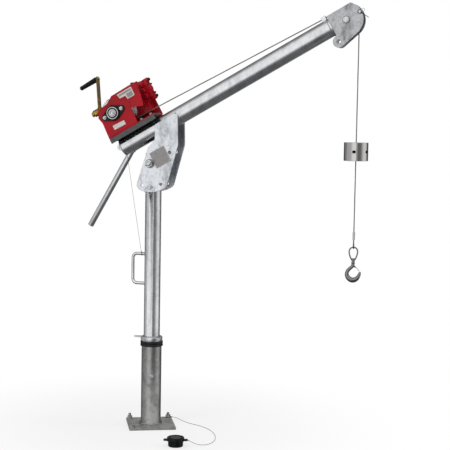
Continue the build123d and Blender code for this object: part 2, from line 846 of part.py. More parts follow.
save(cord(lanyard_route, lanyard_diameter), "cap_lanyard")
save(safety_wire(), "safety_wire")
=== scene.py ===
import json
from math import acos, asin, atan2, cos, degrees, hypot, pi, radians, sin, sqrt

import bmesh
import bpy
from mathutils import Matrix, Vector
from mathutils.geometry import delaunay_2d_cdt


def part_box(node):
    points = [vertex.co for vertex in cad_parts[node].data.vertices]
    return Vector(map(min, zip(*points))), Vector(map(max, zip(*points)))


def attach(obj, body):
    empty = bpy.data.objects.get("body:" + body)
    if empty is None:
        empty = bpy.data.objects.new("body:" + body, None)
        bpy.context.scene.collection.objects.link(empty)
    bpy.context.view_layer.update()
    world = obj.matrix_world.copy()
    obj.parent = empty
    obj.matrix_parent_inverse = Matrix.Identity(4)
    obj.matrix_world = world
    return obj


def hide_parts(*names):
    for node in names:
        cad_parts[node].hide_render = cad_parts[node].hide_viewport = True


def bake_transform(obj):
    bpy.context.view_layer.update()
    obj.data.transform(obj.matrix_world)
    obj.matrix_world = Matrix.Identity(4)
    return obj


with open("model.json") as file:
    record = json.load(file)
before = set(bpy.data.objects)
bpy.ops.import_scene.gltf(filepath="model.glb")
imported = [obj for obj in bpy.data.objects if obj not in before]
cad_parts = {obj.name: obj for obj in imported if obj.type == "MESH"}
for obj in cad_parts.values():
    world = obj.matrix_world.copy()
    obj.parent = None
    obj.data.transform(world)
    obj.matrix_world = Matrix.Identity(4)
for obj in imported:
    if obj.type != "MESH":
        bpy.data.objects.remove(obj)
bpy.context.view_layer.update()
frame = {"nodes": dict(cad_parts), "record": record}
NODES = frame["nodes"]


def shift(x, y, z):
    return Matrix.Translation((x, y, z))


def spin(turn, axis="Z"):
    return Matrix.Rotation(radians(turn), 4, axis)


def new_object(name, data):
    obj = bpy.data.objects.new(name, data)
    bpy.context.scene.collection.objects.link(obj)
    return obj


def facing(along):
    """The turn that lays Z along a direction."""
    return along.to_track_quat("Z", "Y").to_matrix().to_4x4()


# Driving places, as in the part's source: metres for FALL_X, SHEAVE_Z and PIVOT_Z, otherwise millimetres.
# S and T are along the boom and square to it, from the pivot.
BOOM_ANGLE, HOOK_ANGLE, CRANK_ANGLE = 29.5, 17, -45
PIVOT_Z = 1.449
FALL_X, SHEAVE_Z = 1.11411, 2.21315
ANCHOR_RADIUS = 152.4
MAST_RADIUS, BOOM_RADIUS = 44.45, 47.6
BOOM_T = 156
HANDLE_LOW, HANDLE_HIGH = 788, 951
LOCK_RADIUS = 127
SHEAVE_S, SHEAVE_T = 1292, 147
DRUM_S, DRUM_T = -50, 336
SHEAVE_ROPE, DRUM_ROPE = 62.0, 69.475  # radius of the rope's middle on each
ROPE_RADIUS = 3.175
WORM_Y, WORM_T = 50, 410
CRANK_S, CRANK_LENGTH = -160, 300
WEIGHT_Z = 1539
ROPE_END = 1122.5
EYE_BASE, SWIVEL_TOP, HOOK_TOP = 1031.7, 1044.7, 956.4
WEIGHT_RADIUS, WEIGHT_HALF, WEIGHT_SEAM, WEIGHT_BORE = 63.5, 47.5, 0.5, 8.0

BOOM_LEAN = radians(BOOM_ANGLE)
MM = Matrix.Scale(0.001, 4)
BOOM = shift(0, 0, PIVOT_Z) @ spin(-BOOM_ANGLE, "Y")
ON_BOOM = BOOM @ MM
ON_DRUM = BOOM @ shift(DRUM_S / 1000, 0, DRUM_T / 1000) @ MM
ON_FALL = shift(FALL_X, 0, 0) @ MM
ON_BASE = spin(26) @ MM
ALONG_Y, AGAINST_Y = spin(-90, "X"), spin(90, "X")
ALONG_X, AGAINST_X = spin(90, "Y"), spin(-90, "Y")


# Materials

PAINT_SHINE = 0.26  # less than the default, so that the red stays deep under a white room
WARP = 0.03  # how far noise bends the edges of the spangle cells
M = {}  # each material by the name it is made with


def wire(target, **values):
    """Set a node's inputs or settings by name, with _ for a space. A socket given as the value is linked."""
    for key, value in values.items():
        place = target.inputs.get(key.replace("_", " "))
        if place is None:
            setattr(target, key, value)
        elif isinstance(value, bpy.types.NodeSocket):
            target.id_data.links.new(value, place)
        else:
            place.default_value = value
    return target


def node(tree, kind, **values):
    return wire(tree.nodes.new("ShaderNode" + kind), **values)


def new_material(name, **values):
    M[name] = mat = bpy.data.materials.new(name)
    mat.use_nodes = True
    return mat.node_tree, wire(mat.node_tree.nodes["Principled BSDF"], **values)


def coords(tree, scale=(1, 1, 1), lean=0.0):
    place = node(tree, "TexCoord").outputs["Object"]
    return node(tree, "Mapping", Vector=place, Rotation=(0, lean, 0), Scale=scale).outputs["Vector"]


def noise(tree, vector, scale, detail=4.0, roughness=0.6, output="Fac"):
    made = node(tree, "TexNoise", Vector=vector, Scale=scale, Detail=detail, Roughness=roughness)
    return made.outputs[output]


def ramp(tree, factor, stops):
    made = node(tree, "ValToRGB", Fac=factor)
    band = made.color_ramp
    while len(band.elements) < len(stops):
        band.elements.new(0.5)
    for element, (place, colour) in zip(band.elements, stops):
        element.position = place
        element.color = (*colour, 1)
    return made.outputs["Color"]


def two_tones(tree, factor, colour, less, more, lift=0.0):
    low = [c * (1 - less) for c in colour]
    high = [min(1, c * (1 + more) + lift) for c in colour]
    return ramp(tree, factor, [(0.3, low), (0.7, high)])


def mix(tree, factor, a, b):
    made = node(tree, "Mix", data_type="RGBA")
    for index, value in ((0, factor), (6, a), (7, b)):
        if isinstance(value, bpy.types.NodeSocket):
            tree.links.new(value, made.inputs[index])
        else:
            made.inputs[index].default_value = value
    return made.outputs[2]


def span(tree, factor, low, high):
    return node(tree, "MapRange", Value=factor, To_Min=low, To_Max=high).outputs["Result"]


def bump(tree, height, strength, distance):
    return node(tree, "Bump", Height=height, Strength=strength, Distance=distance).outputs["Normal"]


def galvanised(name, light, dark, spangle=70.0, rough=(0.22, 0.30), streak=(1, 1, 1), lean=0.0, metal=1.0):
    """Hot-dip zinc: spangle cells, cloudy streaks and slow waves in the coat."""
    tree, shader = new_material(name, Metallic=metal)
    v = coords(tree)
    bright = [min(1, c * 1.14) for c in light]
    deep = [c * 0.80 for c in dark]
    warped = mix(tree, WARP, v, noise(tree, v, 60.0, 3.0, 0.5, "Color"))
    spangles = node(tree, "TexVoronoi", Vector=warped, Scale=spangle).outputs["Color"]
    grey = ramp(tree, spangles, [(0.25, dark), (0.5, light), (0.75, bright)])
    cloud = noise(tree, coords(tree, streak, lean), 22.0, 6.0, 0.62)
    stain = ramp(tree, cloud, [(0.36, deep), (0.50, light), (0.64, bright)])
    waves = noise(tree, v, 12.0, 1.0, 0.4)
    wire(shader, Base_Color=mix(tree, 0.66, grey, stain), Roughness=span(tree, cloud, *rough),
         Normal=bump(tree, waves, 0.12, 0.0012))


def brushed(name, colour, rough, scale, contrast=0.10, relief=0.05, stretch=(1, 1, 1)):
    tree, shader = new_material(name, Metallic=1.0)
    grain = noise(tree, coords(tree, stretch), scale, 4.0, 0.7)
    wire(shader, Base_Color=two_tones(tree, grain, colour, contrast, contrast),
         Roughness=span(tree, grain, rough * 0.75, rough * 1.3), Normal=bump(tree, grain, relief, 0.0004))


def enamel(name, colour, dirt=0.25):
    tree, shader = new_material(name, Specular_IOR_Level=PAINT_SHINE)
    v = coords(tree)
    cloud = noise(tree, v, 9.0, 5.0, 0.6)
    peel = noise(tree, v, 420.0, 2.0, 0.5)
    wire(shader, Base_Color=two_tones(tree, cloud, colour, dirt, 0.5 * dirt),
         Roughness=span(tree, cloud, 0.24, 0.34), Normal=bump(tree, peel, 0.05, 0.0004))


def dull(name, colour, rough, grain, relief=0.3, speck=0.25, shine=0.3):
    tree, shader = new_material(name, Specular_IOR_Level=shine)
    fine = noise(tree, coords(tree), grain, 5.0, 0.65)
    wire(shader, Base_Color=two_tones(tree, fine, colour, speck, speck, 0.004),
         Roughness=span(tree, fine, rough * 0.85, min(1.0, rough * 1.15)),
         Normal=bump(tree, fine, relief, 0.0006))


def chromate(name):
    tree, shader = new_material(name, Metallic=1.0)
    v = coords(tree)
    cloud = noise(tree, v, 26.0, 5.0, 0.6)
    gold = ramp(tree, cloud, [(0.30, (0.16, 0.085, 0.018)), (0.5, (0.36, 0.21, 0.045)),
                              (0.66, (0.56, 0.38, 0.11)), (0.85, (0.38, 0.22, 0.12))])
    wire(shader, Base_Color=gold, Roughness=span(tree, cloud, 0.26, 0.42),
         Normal=bump(tree, noise(tree, v, 300.0), 0.08, 0.0003))


galvanised("galvanised_tube", (0.66, 0.67, 0.69), (0.585, 0.595, 0.61), streak=(1, 1, 0.4))
dull("label_film", (0.70, 0.69, 0.66), 0.35, 60.0, 0.05, 0.04)
brushed("weld_bead", (0.46, 0.47, 0.48), 0.45, 160.0, 0.25, 0.3)
galvanised("galvanised_plate", (0.68, 0.70, 0.73), (0.42, 0.435, 0.46), 85.0, (0.30, 0.42), (1, 1, 0.3), 0.5)
# The sleeve's zinc: a darker copy of the tube's look, as painted shade where the light falls off low down.
galvanised("galvanised_base_painted_shade", (0.30, 0.303, 0.298), (0.19, 0.192, 0.188), 60.0, (0.28, 0.38), (1, 1, 0.5))
galvanised("galvanised_head", (0.42, 0.43, 0.445), (0.22, 0.228, 0.24), 85.0, (0.30, 0.42), (1, 1, 0.3), -0.4)
# The base plate's zinc: a darker copy of the tube's look, as painted shade where the light falls off at the floor.
galvanised("galvanised_foot_painted_shade", (0.34, 0.345, 0.33), (0.22, 0.223, 0.214), 60.0, (0.34, 0.46), metal=0.3)
brushed("zinc_plate", (0.54, 0.55, 0.56), 0.20, 120.0, relief=0.03)
brushed("polished_steel", (0.50, 0.49, 0.485), 0.045, 30.0, 0.08, 0.02, (1, 1, 60))
brushed("cast_steel", (0.24, 0.235, 0.228), 0.08, 90.0, relief=0.04)
enamel("red_paint", (0.42, 0.003, 0.012))
brushed("dark_plate", (0.28, 0.27, 0.27), 0.40, 90.0, 0.18)
# The winch mount: partly its own dark steel, made near black as painted shade, so that its side reads as the
# shadow under the winch plate.
brushed("mount_steel_painted_shade", (0.10, 0.102, 0.105), 0.40, 40.0, 0.25, 0.1)
chromate("yellow_zinc")
dull("black_casting", (0.010, 0.011, 0.011), 0.34, 180.0, shine=0.18)
dull("black_rubber", (0.008, 0.008, 0.0085), 0.44, 120.0, 0.2)
dull("black_grip", (0.006, 0.006, 0.0065), 0.30, 220.0, 0.12, shine=0.14)
brushed("wire_rope", (0.26, 0.25, 0.235), 0.40, 400.0, 0.25, 0.2)
dull("bearing_plastic", (0.80, 0.79, 0.74), 0.5, 80.0, 0.1, 0.05)
M["galvanised"] = M["galvanised_tube"]
M["label"] = M["label_film"]
M["weld"] = M["weld_bead"]

# The CAD material that a look stands for, and the CAD nodes with a look of their own
LOOK_OF = {"id_plate": "dark_plate", "winch_mount": "mount_steel_painted_shade", "base_plate": "galvanised_foot_painted_shade",
           "base_sleeve": "galvanised_base_painted_shade", "cheek_near": "galvanised_head", "cheek_far": "galvanised_head",
           "bracket_plate_near": "galvanised_plate", "bracket_plate_far": "galvanised_plate",
           "mast_collar": "galvanised_plate"}


def dress_nodes():
    for entry in frame["record"]["subparts"]:
        name = entry["node"]
        obj = NODES[name]
        obj.data.materials.clear()
        obj.data.materials.append(M[LOOK_OF.get(name, entry["material_slot"])])


# Camera, light and floor

# Levels of grey round the room, by the share of a turn, and up and down it, by the share of its height
WALL_PANELS = [(0.0, 0.72), (0.03, 0.62), (0.055, 0.06), (0.10, 0.08), (0.16, 0.34), (0.21, 0.58), (0.35, 0.72),
               (0.39, 1.15), (0.47, 1.30), (0.50, 0.60), (0.54, 0.20), (0.61, 0.24), (0.65, 0.60), (0.70, 1.05),
               (0.77, 1.05), (0.81, 0.45), (0.86, 0.06), (0.91, 0.06), (0.935, 0.62), (1.0, 0.72)]
CEILING_LEVELS = [(0.20, 0.20), (0.42, 0.40), (0.58, 0.95), (0.78, 1.15)]
CEILING_EDGE = [(0.58, 0.0), (0.68, 1.0)]
GROUND_EDGE = [(0.19, 1.0), (0.36, 0.0)]
GROUND_LEVEL = 0.14
FILL_LEVEL = 0.50
FADE_NEAR, FADE_START, FADE_END = 0.70, 0.3, 1.5  # how much paper white the floor takes, and from where to where
FLOOR_REACH = 30


def make_camera():
    """The camera that was fitted to the photograph's straight edges."""
    data = bpy.data.cameras.new("camera")
    data.lens = 99.35
    data.sensor_width = 36
    data.clip_end = 60
    cam = new_object("camera", data)
    right = Vector((0.95484, 0.29664, 0.01706))
    up = Vector((-0.04194, 0.07771, 0.99609))
    ahead = Vector((-0.29416, 0.95182, -0.08664))
    turn = Matrix((right, up, -ahead)).transposed().to_4x4()
    cam.matrix_world = shift(2.37294, -6.34673, 1.70622) @ turn
    bpy.context.scene.camera = cam


def softbox(name, place, target, size, power):
    data = bpy.data.lights.new(name, "AREA")
    data.shape = "RECTANGLE"
    data.size, data.size_y = size
    data.energy = power
    lamp = new_object(name, data)
    lamp.location = place
    lamp.visible_glossy = False
    lamp.rotation_euler = (Vector(target) - Vector(place)).to_track_quat("-Z", "Y").to_euler()


def background(tree, level):
    grey = level if isinstance(level, bpy.types.NodeSocket) else (level, level, level, 1)
    return node(tree, "Background", Strength=1.0, Color=grey).outputs[0]


def choose(tree, factor, first, second):
    made = node(tree, "MixShader", Fac=factor)
    tree.links.new(first, made.inputs[1])
    tree.links.new(second, made.inputs[2])
    return made.outputs[0]


def grey_ramp(tree, factor, stops):
    return ramp(tree, factor, [(place, (level, level, level)) for place, level in stops])


def studio_room(tree):
    """What metal reflects: walls with light and dark panels, a bright ceiling and a dim ground."""
    where = node(tree, "TexCoord").outputs["Generated"]
    parts = []
    for axis in (Vector((0.294, -0.956, 0)), Vector((0.956, 0.294, 0))):
        made = node(tree, "VectorMath", operation="DOT_PRODUCT", Vector=where)
        made.inputs[1].default_value = axis
        parts.append(made.outputs["Value"])
    flat = node(tree, "CombineXYZ", X=parts[0], Y=parts[1]).outputs[0]
    turn = node(tree, "TexGradient", gradient_type="RADIAL", Vector=flat).outputs["Fac"]
    rise = node(tree, "SeparateXYZ", Vector=where).outputs["Z"]
    height = node(tree, "MapRange", From_Min=-1.0, Value=rise).outputs["Result"]
    front = node(tree, "MapRange", From_Min=-1.0, Value=parts[0]).outputs["Result"]
    room = mix(tree, grey_ramp(tree, height, CEILING_EDGE), grey_ramp(tree, turn, WALL_PANELS),
               grey_ramp(tree, front, CEILING_LEVELS))
    return mix(tree, grey_ramp(tree, height, GROUND_EDGE), room, (GROUND_LEVEL, GROUND_LEVEL, GROUND_LEVEL, 1))


def make_world():
    world = bpy.data.worlds.new("studio")
    bpy.context.scene.world = world
    world.use_nodes = True
    tree = world.node_tree
    tree.nodes.clear()
    path = node(tree, "LightPath").outputs
    seen = node(tree, "Math", operation="MAXIMUM", Value=path["Is Camera Ray"])
    tree.links.new(path["Is Transmission Ray"], seen.inputs[1])
    room = background(tree, studio_room(tree))
    lit = choose(tree, path["Is Glossy Ray"], background(tree, FILL_LEVEL), room)
    node(tree, "OutputWorld", Surface=choose(tree, seen.outputs[0], lit, background(tree, 1.0)))


def make_floor():
    mesh = bpy.data.meshes.new("floor")
    corners = [(FLOOR_REACH * x, FLOOR_REACH * y, 0) for x, y in ((-1, -1), (1, -1), (1, 1), (-1, 1))]
    mesh.from_pydata(corners, [], [(0, 1, 2, 3)])
    floor = new_object("floor", mesh)
    tree, shader = new_material("floor_paper", Base_Color=(0.90, 0.90, 0.90, 1), Roughness=0.8)
    place = node(tree, "TexCoord").outputs["Object"]
    reach = node(tree, "VectorMath", operation="LENGTH", Vector=place).outputs["Value"]
    fade = node(tree, "MapRange", interpolation_type="SMOOTHSTEP", Value=reach, From_Min=FADE_START,
                From_Max=FADE_END, To_Min=FADE_NEAR)
    seen = node(tree, "Math", operation="MULTIPLY", Value=fade.outputs["Result"])
    tree.links.new(node(tree, "LightPath").outputs["Is Camera Ray"], seen.inputs[1])
    paper = node(tree, "Emission", Strength=1.0, Color=(1, 1, 1, 1)).outputs[0]
    wire(tree.nodes["Material Output"], Surface=choose(tree, seen.outputs[0], shader.outputs[0], paper))
    mesh.materials.append(M["floor_paper"])
    floor.visible_glossy = False


bpy.context.scene.view_settings.view_transform = "Standard"
make_camera()
make_world()
make_floor()
softbox("key", (-1.6, -3.6, 3.6), (0.3, 0, 1.3), (1.8, 2.4), 46)
softbox("rim", (3.6, 0.8, 3.2), (0.4, 0, 1.3), (1.2, 2.4), 30)
softbox("top", (0.4, 0.4, 4.6), (0.4, 0, 1.2), (2.6, 2.0), 32)
dress_nodes()

# The cap's lanyard: one smooth curve over the part's own route

ROUTE = [(70, 152.4, 15.2), (97, 151.5, 13.6), (127, 137, 7.5), (162, 117, 2.4), (205, 94, 1.4), (254, 73, 1.3),
         (300, 44, 1.3), (341, 5, 1.3), (376, -42, 1.3), (404, -94, 1.3), (425, -149, 1.3), (438, -206, 1.3),
         (438, -258, 1.3), (424, -300, 1.6), (399, -327, 5), (371, -346, 15), (345, -357, 31)]
LANYARD_DIAMETER = 0.0024


def lanyard():
    data = bpy.data.curves.new("lanyard", "CURVE")
    data.dimensions = "3D"
    data.bevel_depth = LANYARD_DIAMETER / 2
    data.bevel_resolution = 3
    data.resolution_u = 10
    line = data.splines.new("NURBS")
    line.points.add(len(ROUTE) - 1)
    for point, place in zip(line.points, ROUTE):
        point.co = (*[c / 1000 for c in place], 1)
    line.order_u = 3
    line.use_endpoint_u = True
    data.use_fill_caps = True
    obj = new_object("lanyard", data)
    data.materials.append(M["wire_rope"])
    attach(obj, "base")
    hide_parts("cap_lanyard")


lanyard()

# Mesh builders, in millimetres; each piece's matrix turns them into metres

draft = bmesh.new()
AXIS_RADIUS = 0.01  # stands for nought, so that no ring of a turned body is a point
HEX_CHAMFER = 0.036  # share of the width across the flats
EDGE_ANGLE = 38  # in degrees: an edge sharper than this is bevelled
FLAT_ANGLE, WELD_REACH = 0.6, 1e-5  # in degrees and metres: what a CAD node's mesh is cleaned by before its bevel


def on_hook(z):
    return shift(FALL_X, 0, z / 1000) @ spin(HOOK_ANGLE) @ MM


def on_crank():
    return ON_BOOM @ shift(CRANK_S, WORM_Y, WORM_T) @ spin(CRANK_ANGLE, "X")


def piece(name, mat, body="boom", at=ON_BOOM, bevel=0.0, smooth=30, replaces=None):
    draft.transform(at)
    bmesh.ops.recalc_face_normals(draft, faces=draft.faces)
    mesh = bpy.data.meshes.new(name)
    draft.to_mesh(mesh)
    draft.clear()
    mesh.polygons.foreach_set("use_smooth", [True] * len(mesh.polygons))
    mesh.set_sharp_from_angle(angle=radians(smooth))
    mesh.materials.append(M[mat])
    obj = new_object(name, mesh)
    if bevel:
        add_bevel(obj, bevel / 1000)
    if body:
        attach(obj, body)
    if replaces:
        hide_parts(replaces)
    return obj


def add_bevel(obj, width):
    made = obj.modifiers.new("edge", "BEVEL")
    made.width = width
    made.segments = 2
    made.limit_method = "ANGLE"
    made.angle_limit = radians(EDGE_ANGLE)
    made.harden_normals = True


def rings(loops, closed_loop=True, closed_path=False, caps=True):
    rows = [[draft.verts.new(p) for p in loop] for loop in loops]
    pairs = list(zip(rows, rows[1:] + rows[:1])) if closed_path else list(zip(rows, rows[1:]))
    for low, high in pairs:
        count = len(low)
        for i in range(count if closed_loop else count - 1):
            j = (i + 1) % count
            draft.faces.new((low[i], low[j], high[j], high[i]))
    if caps and not closed_path:
        draft.faces.new(rows[0])
        draft.faces.new(rows[-1])


def lathe(profile, at=Matrix(), steps=48, closed=False):
    """A turned body from (radius, height) pairs, round the matrix's Z."""
    rings([[at @ p for p in circle((0, 0, h), max(r, AXIS_RADIUS), count=steps)] for r, h in profile],
          closed_path=closed)


def turned(profile, at=Matrix(), steps=48):
    """A turned body that is solid to its axis."""
    lathe([(0, profile[0][1])] + profile + [(0, profile[-1][1])], at, steps)


def tube(points, radius, sides=10, closed=False, at=Matrix(), twist=0.0):
    points = [Vector(p) for p in points]
    count = len(points)
    radii = radius if isinstance(radius, (list, tuple)) else [radius] * count
    side = None
    loops = []
    for i, p in enumerate(points):
        ahead = points[(i + 1) % count] if closed or i < count - 1 else p
        behind = points[i - 1] if closed or i > 0 else p
        along = (ahead - behind).normalized()
        if side is None:
            side = along.orthogonal().normalized()
        side = (side - along * side.dot(along)).normalized()
        other = along.cross(side)
        loops.append([at @ (p + radii[i] * (side * cos(a) + other * sin(a)))
                      for a in (2 * pi * k / sides + twist for k in range(sides))])
    rings(loops, closed_path=closed)


def prism(outline, y0, y1, at=Matrix()):
    rings([[at @ Vector((x, y, z)) for x, z in outline] for y in (y0, y1)])


def brick(x0, x1, y0, y1, z0, z1, at=Matrix()):
    prism([(x0, z0), (x1, z0), (x1, z1), (x0, z1)], y0, y1, at)


def hexagon(across, h0, h1, at=Matrix()):
    """A nut or head with a small chamfer at its top."""
    r = across / sqrt(3)
    rings([[at @ p for p in circle((0, 0, h), k * r, count=6)]
               for h, k in ((h0, 1.0), (h1 - HEX_CHAMFER * across, 1.0), (h1, 0.9))])


def threaded(radius, h0, h1, at=Matrix(), pitch=2.0, steps=20):
    profile = [(0, h0), (radius * 0.86, h0)]
    h = h0
    while h + pitch < h1:
        profile += [(radius * 0.86, h + 0.1 * pitch), (radius, h + 0.5 * pitch), (radius * 0.86, h + 0.9 * pitch)]
        h += pitch
    profile += [(radius * 0.7, h1), (0, h1)]
    lathe(profile, at, steps)


def washer(inner, outer, h0, h1, at=Matrix(), steps=32):
    c = 0.15 * (h1 - h0)
    lathe([(inner, h0), (outer - c, h0), (outer, h0 + c), (outer, h1 - c), (outer - c, h1), (inner, h1)],
          at, steps, closed=True)


def screw(across, at, head=None, wash=1.0, stud=0.0):
    """Hexagon head or nut with its washer, standing along the matrix's Z."""
    head = head or 0.6 * across
    turned([(0.62 * across * wash, 0), (0.62 * across * wash, 0.09 * across)], at, 24)
    hexagon(across, 0.09 * across, head, at)
    if stud:
        threaded(0.3 * across, head - 0.5, head + stud, at, 1.6, 14)


def arc(cx, cz, radius, a0, a1, count):
    turns = (radians(a0 + (a1 - a0) * i / count) for i in range(count + 1))
    return [(cx + radius * cos(a), cz + radius * sin(a)) for a in turns]


def bead(points, radius, at=Matrix(), pitch=3.2, closed=False):
    """A weld bead: a rippled round that follows the points."""
    dense = []
    points = [Vector(p) for p in points]
    for a, b in zip(points, points[1:] + ([points[0]] if closed else [])):
        steps = max(1, int((b - a).length / pitch * 2))
        dense += [a.lerp(b, i / steps) for i in range(steps)]
    if not closed:
        dense.append(points[-1])
    radii = [radius * (1.0 if i % 2 else 0.86) for i in range(len(dense))]
    if closed and len(dense) % 2:
        radii[-1] = radius * 0.93
    tube(dense, radii, 7, closed, at)


def circle(centre, radius, axis="Z", count=48, a0=0.0, a1=360.0):
    spots = []
    full = abs(a1 - a0 - 360) < 1e-6
    for i in range(count if full else count + 1):
        a = radians(a0 + (a1 - a0) * i / count)
        u, v = radius * cos(a), radius * sin(a)
        offset = {"Z": (u, v, 0), "Y": (u, 0, v), "X": (0, u, v)}[axis]
        spots.append(Vector(centre) + Vector(offset))
    return spots


def strands(points, radius, at=Matrix(), lay=38.0, count=6, sides=5, step=3.2, core=True):
    """Laid wire rope: strands wound round the line through the points."""
    line = [Vector(points[0])]
    for a, b in zip(points, points[1:]):
        a, b = Vector(a), Vector(b)
        steps = max(1, round((b - a).length / step))
        line += [a.lerp(b, (i + 1) / steps) for i in range(steps)]
    strand = radius * 0.37
    offset = radius - strand
    frames = []
    side = Vector((0, 1, 0))
    travelled = 0.0
    for i, p in enumerate(line):
        along = (line[min(i + 1, len(line) - 1)] - line[max(i - 1, 0)]).normalized()
        side = (side - along * side.dot(along)).normalized()
        if i:
            travelled += (p - line[i - 1]).length
        frames.append((p, side, along.cross(side), travelled))
    for k in range(count):
        wound = ((p, u, v, 2 * pi * (far / lay + k / count)) for p, u, v, far in frames)
        tube([p + offset * (u * cos(a) + v * sin(a)) for p, u, v, a in wound], strand, sides, at=at)
    if core:
        tube([f[0] for f in frames], offset * 0.8, 5, at=at)


# Pedestal

def pedestal():
    for index, turn in enumerate((135, 225, 45)):
        a = radians(turn)
        x, y = ANCHOR_RADIUS * cos(a), ANCHOR_RADIUS * sin(a)
        low = 14.7 if turn == 45 else 12.7
        at = shift(x, y, 0)
        washer(8.3, 14, low, low + 2.4, at)
        hexagon(24, low + 2.4, low + 15, at)
        threaded(8, 1.5, 42, at, 2.0)
        piece(f"anchor_stud_{index + 1}", "zinc_plate", "base", ON_BASE)
    bead(circle((0, 0, 16.0), 59.5, count=40), 4.6, closed=True)
    piece("sleeve_foot_weld", "weld", "base", MM, smooth=80)
    lathe([(44.75, 445), (60, 445), (62, 446.5), (62, 455), (61, 457), (58.6, 458), (58.6, 460), (61, 461),
               (62, 463), (62, 470), (60.5, 472.4), (58, 473), (44.75, 473)], steps=96, closed=True)
    piece("seal_ring_moulded", "black_rubber", "base", MM, replaces="seal_ring", smooth=38)
    toward = spin(degrees(atan2(-0.937, 0.35))) @ ALONG_X
    turned([(11, 54), (11, 60), (9.5, 61.5)], toward, 28)
    screw(15, toward @ shift(0, 0, 61), 9)
    piece("sleeve_lock_screw", "zinc_plate", "base", shift(0, 0, 0.283) @ MM)


def base_cap_pieces():
    at = shift(0.280, -0.377, 0) @ spin(17.3) @ MM
    turned([(36, 0.3), (38.2, 2), (38.5, 26), (44, 28.5), (45, 31), (45, 45.5), (43.5, 48.5), (41, 49.7),
            (37, 49.7), (35.5, 46.6), (31, 46.2), (29.5, 47.6)], steps=72)
    for y in (8, 14, 20):
        lathe([(38, y), (39.6, y + 1), (39.6, y + 2), (38, y + 3)], steps=72, closed=True)
    piece("base_cap_rubber", "black_grip", "base", at, replaces="base_cap", smooth=38)
    for side in (-1, 1):
        outline = [(38, -12)] + arc(52, 0, 11.6, -90, 90, 14) + [(38, 12)]
        outer = [Vector((side * x, y, 0)) for x, y in outline]
        hole = circle((side * 54, 0, 0), 4.5, count=17)
        if side < 0:
            outer.reverse()
        start = min(range(17), key=lambda i: (hole[i] - outer[0]).length)
        hole = hole[start:] + hole[:start]
        if (hole[1] - hole[0]).dot(outer[1] - outer[0]) < 0:
            hole = hole[:1] + hole[:0:-1]
        loops = []
        for ring, z in ((outer, 29.5), (outer, 37.5), (hole, 37.5), (hole, 29.5)):
            loops.append([p + Vector((0, 0, z)) for p in ring])
        rings(loops, closed_path=True)
        piece(f"base_cap_ear_{1 if side > 0 else 2}", "black_rubber", "base", at, bevel=1.2, smooth=45)
    end, toward = Vector(ROUTE[-1]), Vector(ROUTE[-2])
    turned([(2.0, -4), (2.3, -3), (2.3, 10), (2.0, 11)], steps=20)
    piece("lanyard_crimp_cap", "zinc_plate", "base", MM @ shift(*end) @ facing((end - toward).normalized()),
          smooth=50)
    start, ahead = Vector(ROUTE[0]), Vector(ROUTE[1])
    turned([(2.0, -3), (2.3, -2), (2.3, 7), (2.0, 8)], steps=20)
    piece("lanyard_crimp_base", "zinc_plate", "base", MM @ shift(*start) @ facing((start - ahead).normalized()),
          smooth=50)


# Mast

def mast_pieces():
    r = 24
    low, high = HANDLE_LOW, HANDLE_HIGH
    path = arc(-115 + r, low + r, r, 270, 180, 14) + arc(-115 + r, high - r, r, 180, 90, 14)
    path = [(-44, low)] + path + [(-44, high)]
    tube([(x, 0, z) for x, z in path], 8.5, 24)
    piece("grab_handle", "galvanised", "mast", MM, replaces="mast_handle", smooth=50)
    for z in (low, high):
        ring = [Vector((-sqrt(MAST_RADIUS ** 2 - p.y ** 2), p.y, p.z)) for p in circle((0, 0, z), 9.2, "X", 28)]
        bead(ring, 2.6, closed=True, pitch=2.4)
    piece("handle_welds", "weld", "mast", MM, smooth=80)
    for turn in (60, 215, 330):
        at = spin(turn) @ ALONG_X
        turned([(5, 57), (5, 60.8), (4.2, 61.6)], shift(0, 0, 486) @ at, 20)
    piece("collar_screws", "zinc_plate", "mast", MM)
    bead(circle((0, 0, 499.2), 45.6, count=40), 2.6, closed=True, pitch=2.6)
    piece("collar_weld", "weld", "mast", MM, smooth=80)


def safety_wire_piece():
    low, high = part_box("safety_wire")
    a = Vector((low.x * 1000 + 1, -18.0, high.z * 1000 - 1))
    b = Vector((high.x * 1000 - 1, -10.0, low.z * 1000 + 1))
    count = 60
    line = [a.lerp(b, i / count) for i in range(count + 1)]
    tube(line, 1.0, 8)
    obj = piece("safety_wire_line", "wire_rope", None, MM, replaces="safety_wire", smooth=38)
    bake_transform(obj)
    tube(circle((0, -0.5, HANDLE_HIGH), 9.8, "X", 28), 1.0, 8, closed=True, at=shift(-62, 0, 0))
    turned([(2.1, 0), (2.1, 12)], shift(-62.5, -10, 955) @ spin(-9, "Y"), 16)
    piece("safety_wire_loop", "wire_rope", "mast", MM, smooth=50)


# Boom and bracket

def bolt_y(s, t, y, side, across, stud=0.0, head=None):
    """A nut or head on the boom's bracket or winch, standing out along Y on one side."""
    screw(across, shift(s, y, t) @ (ALONG_Y if side > 0 else AGAINST_Y), head, stud=stud)


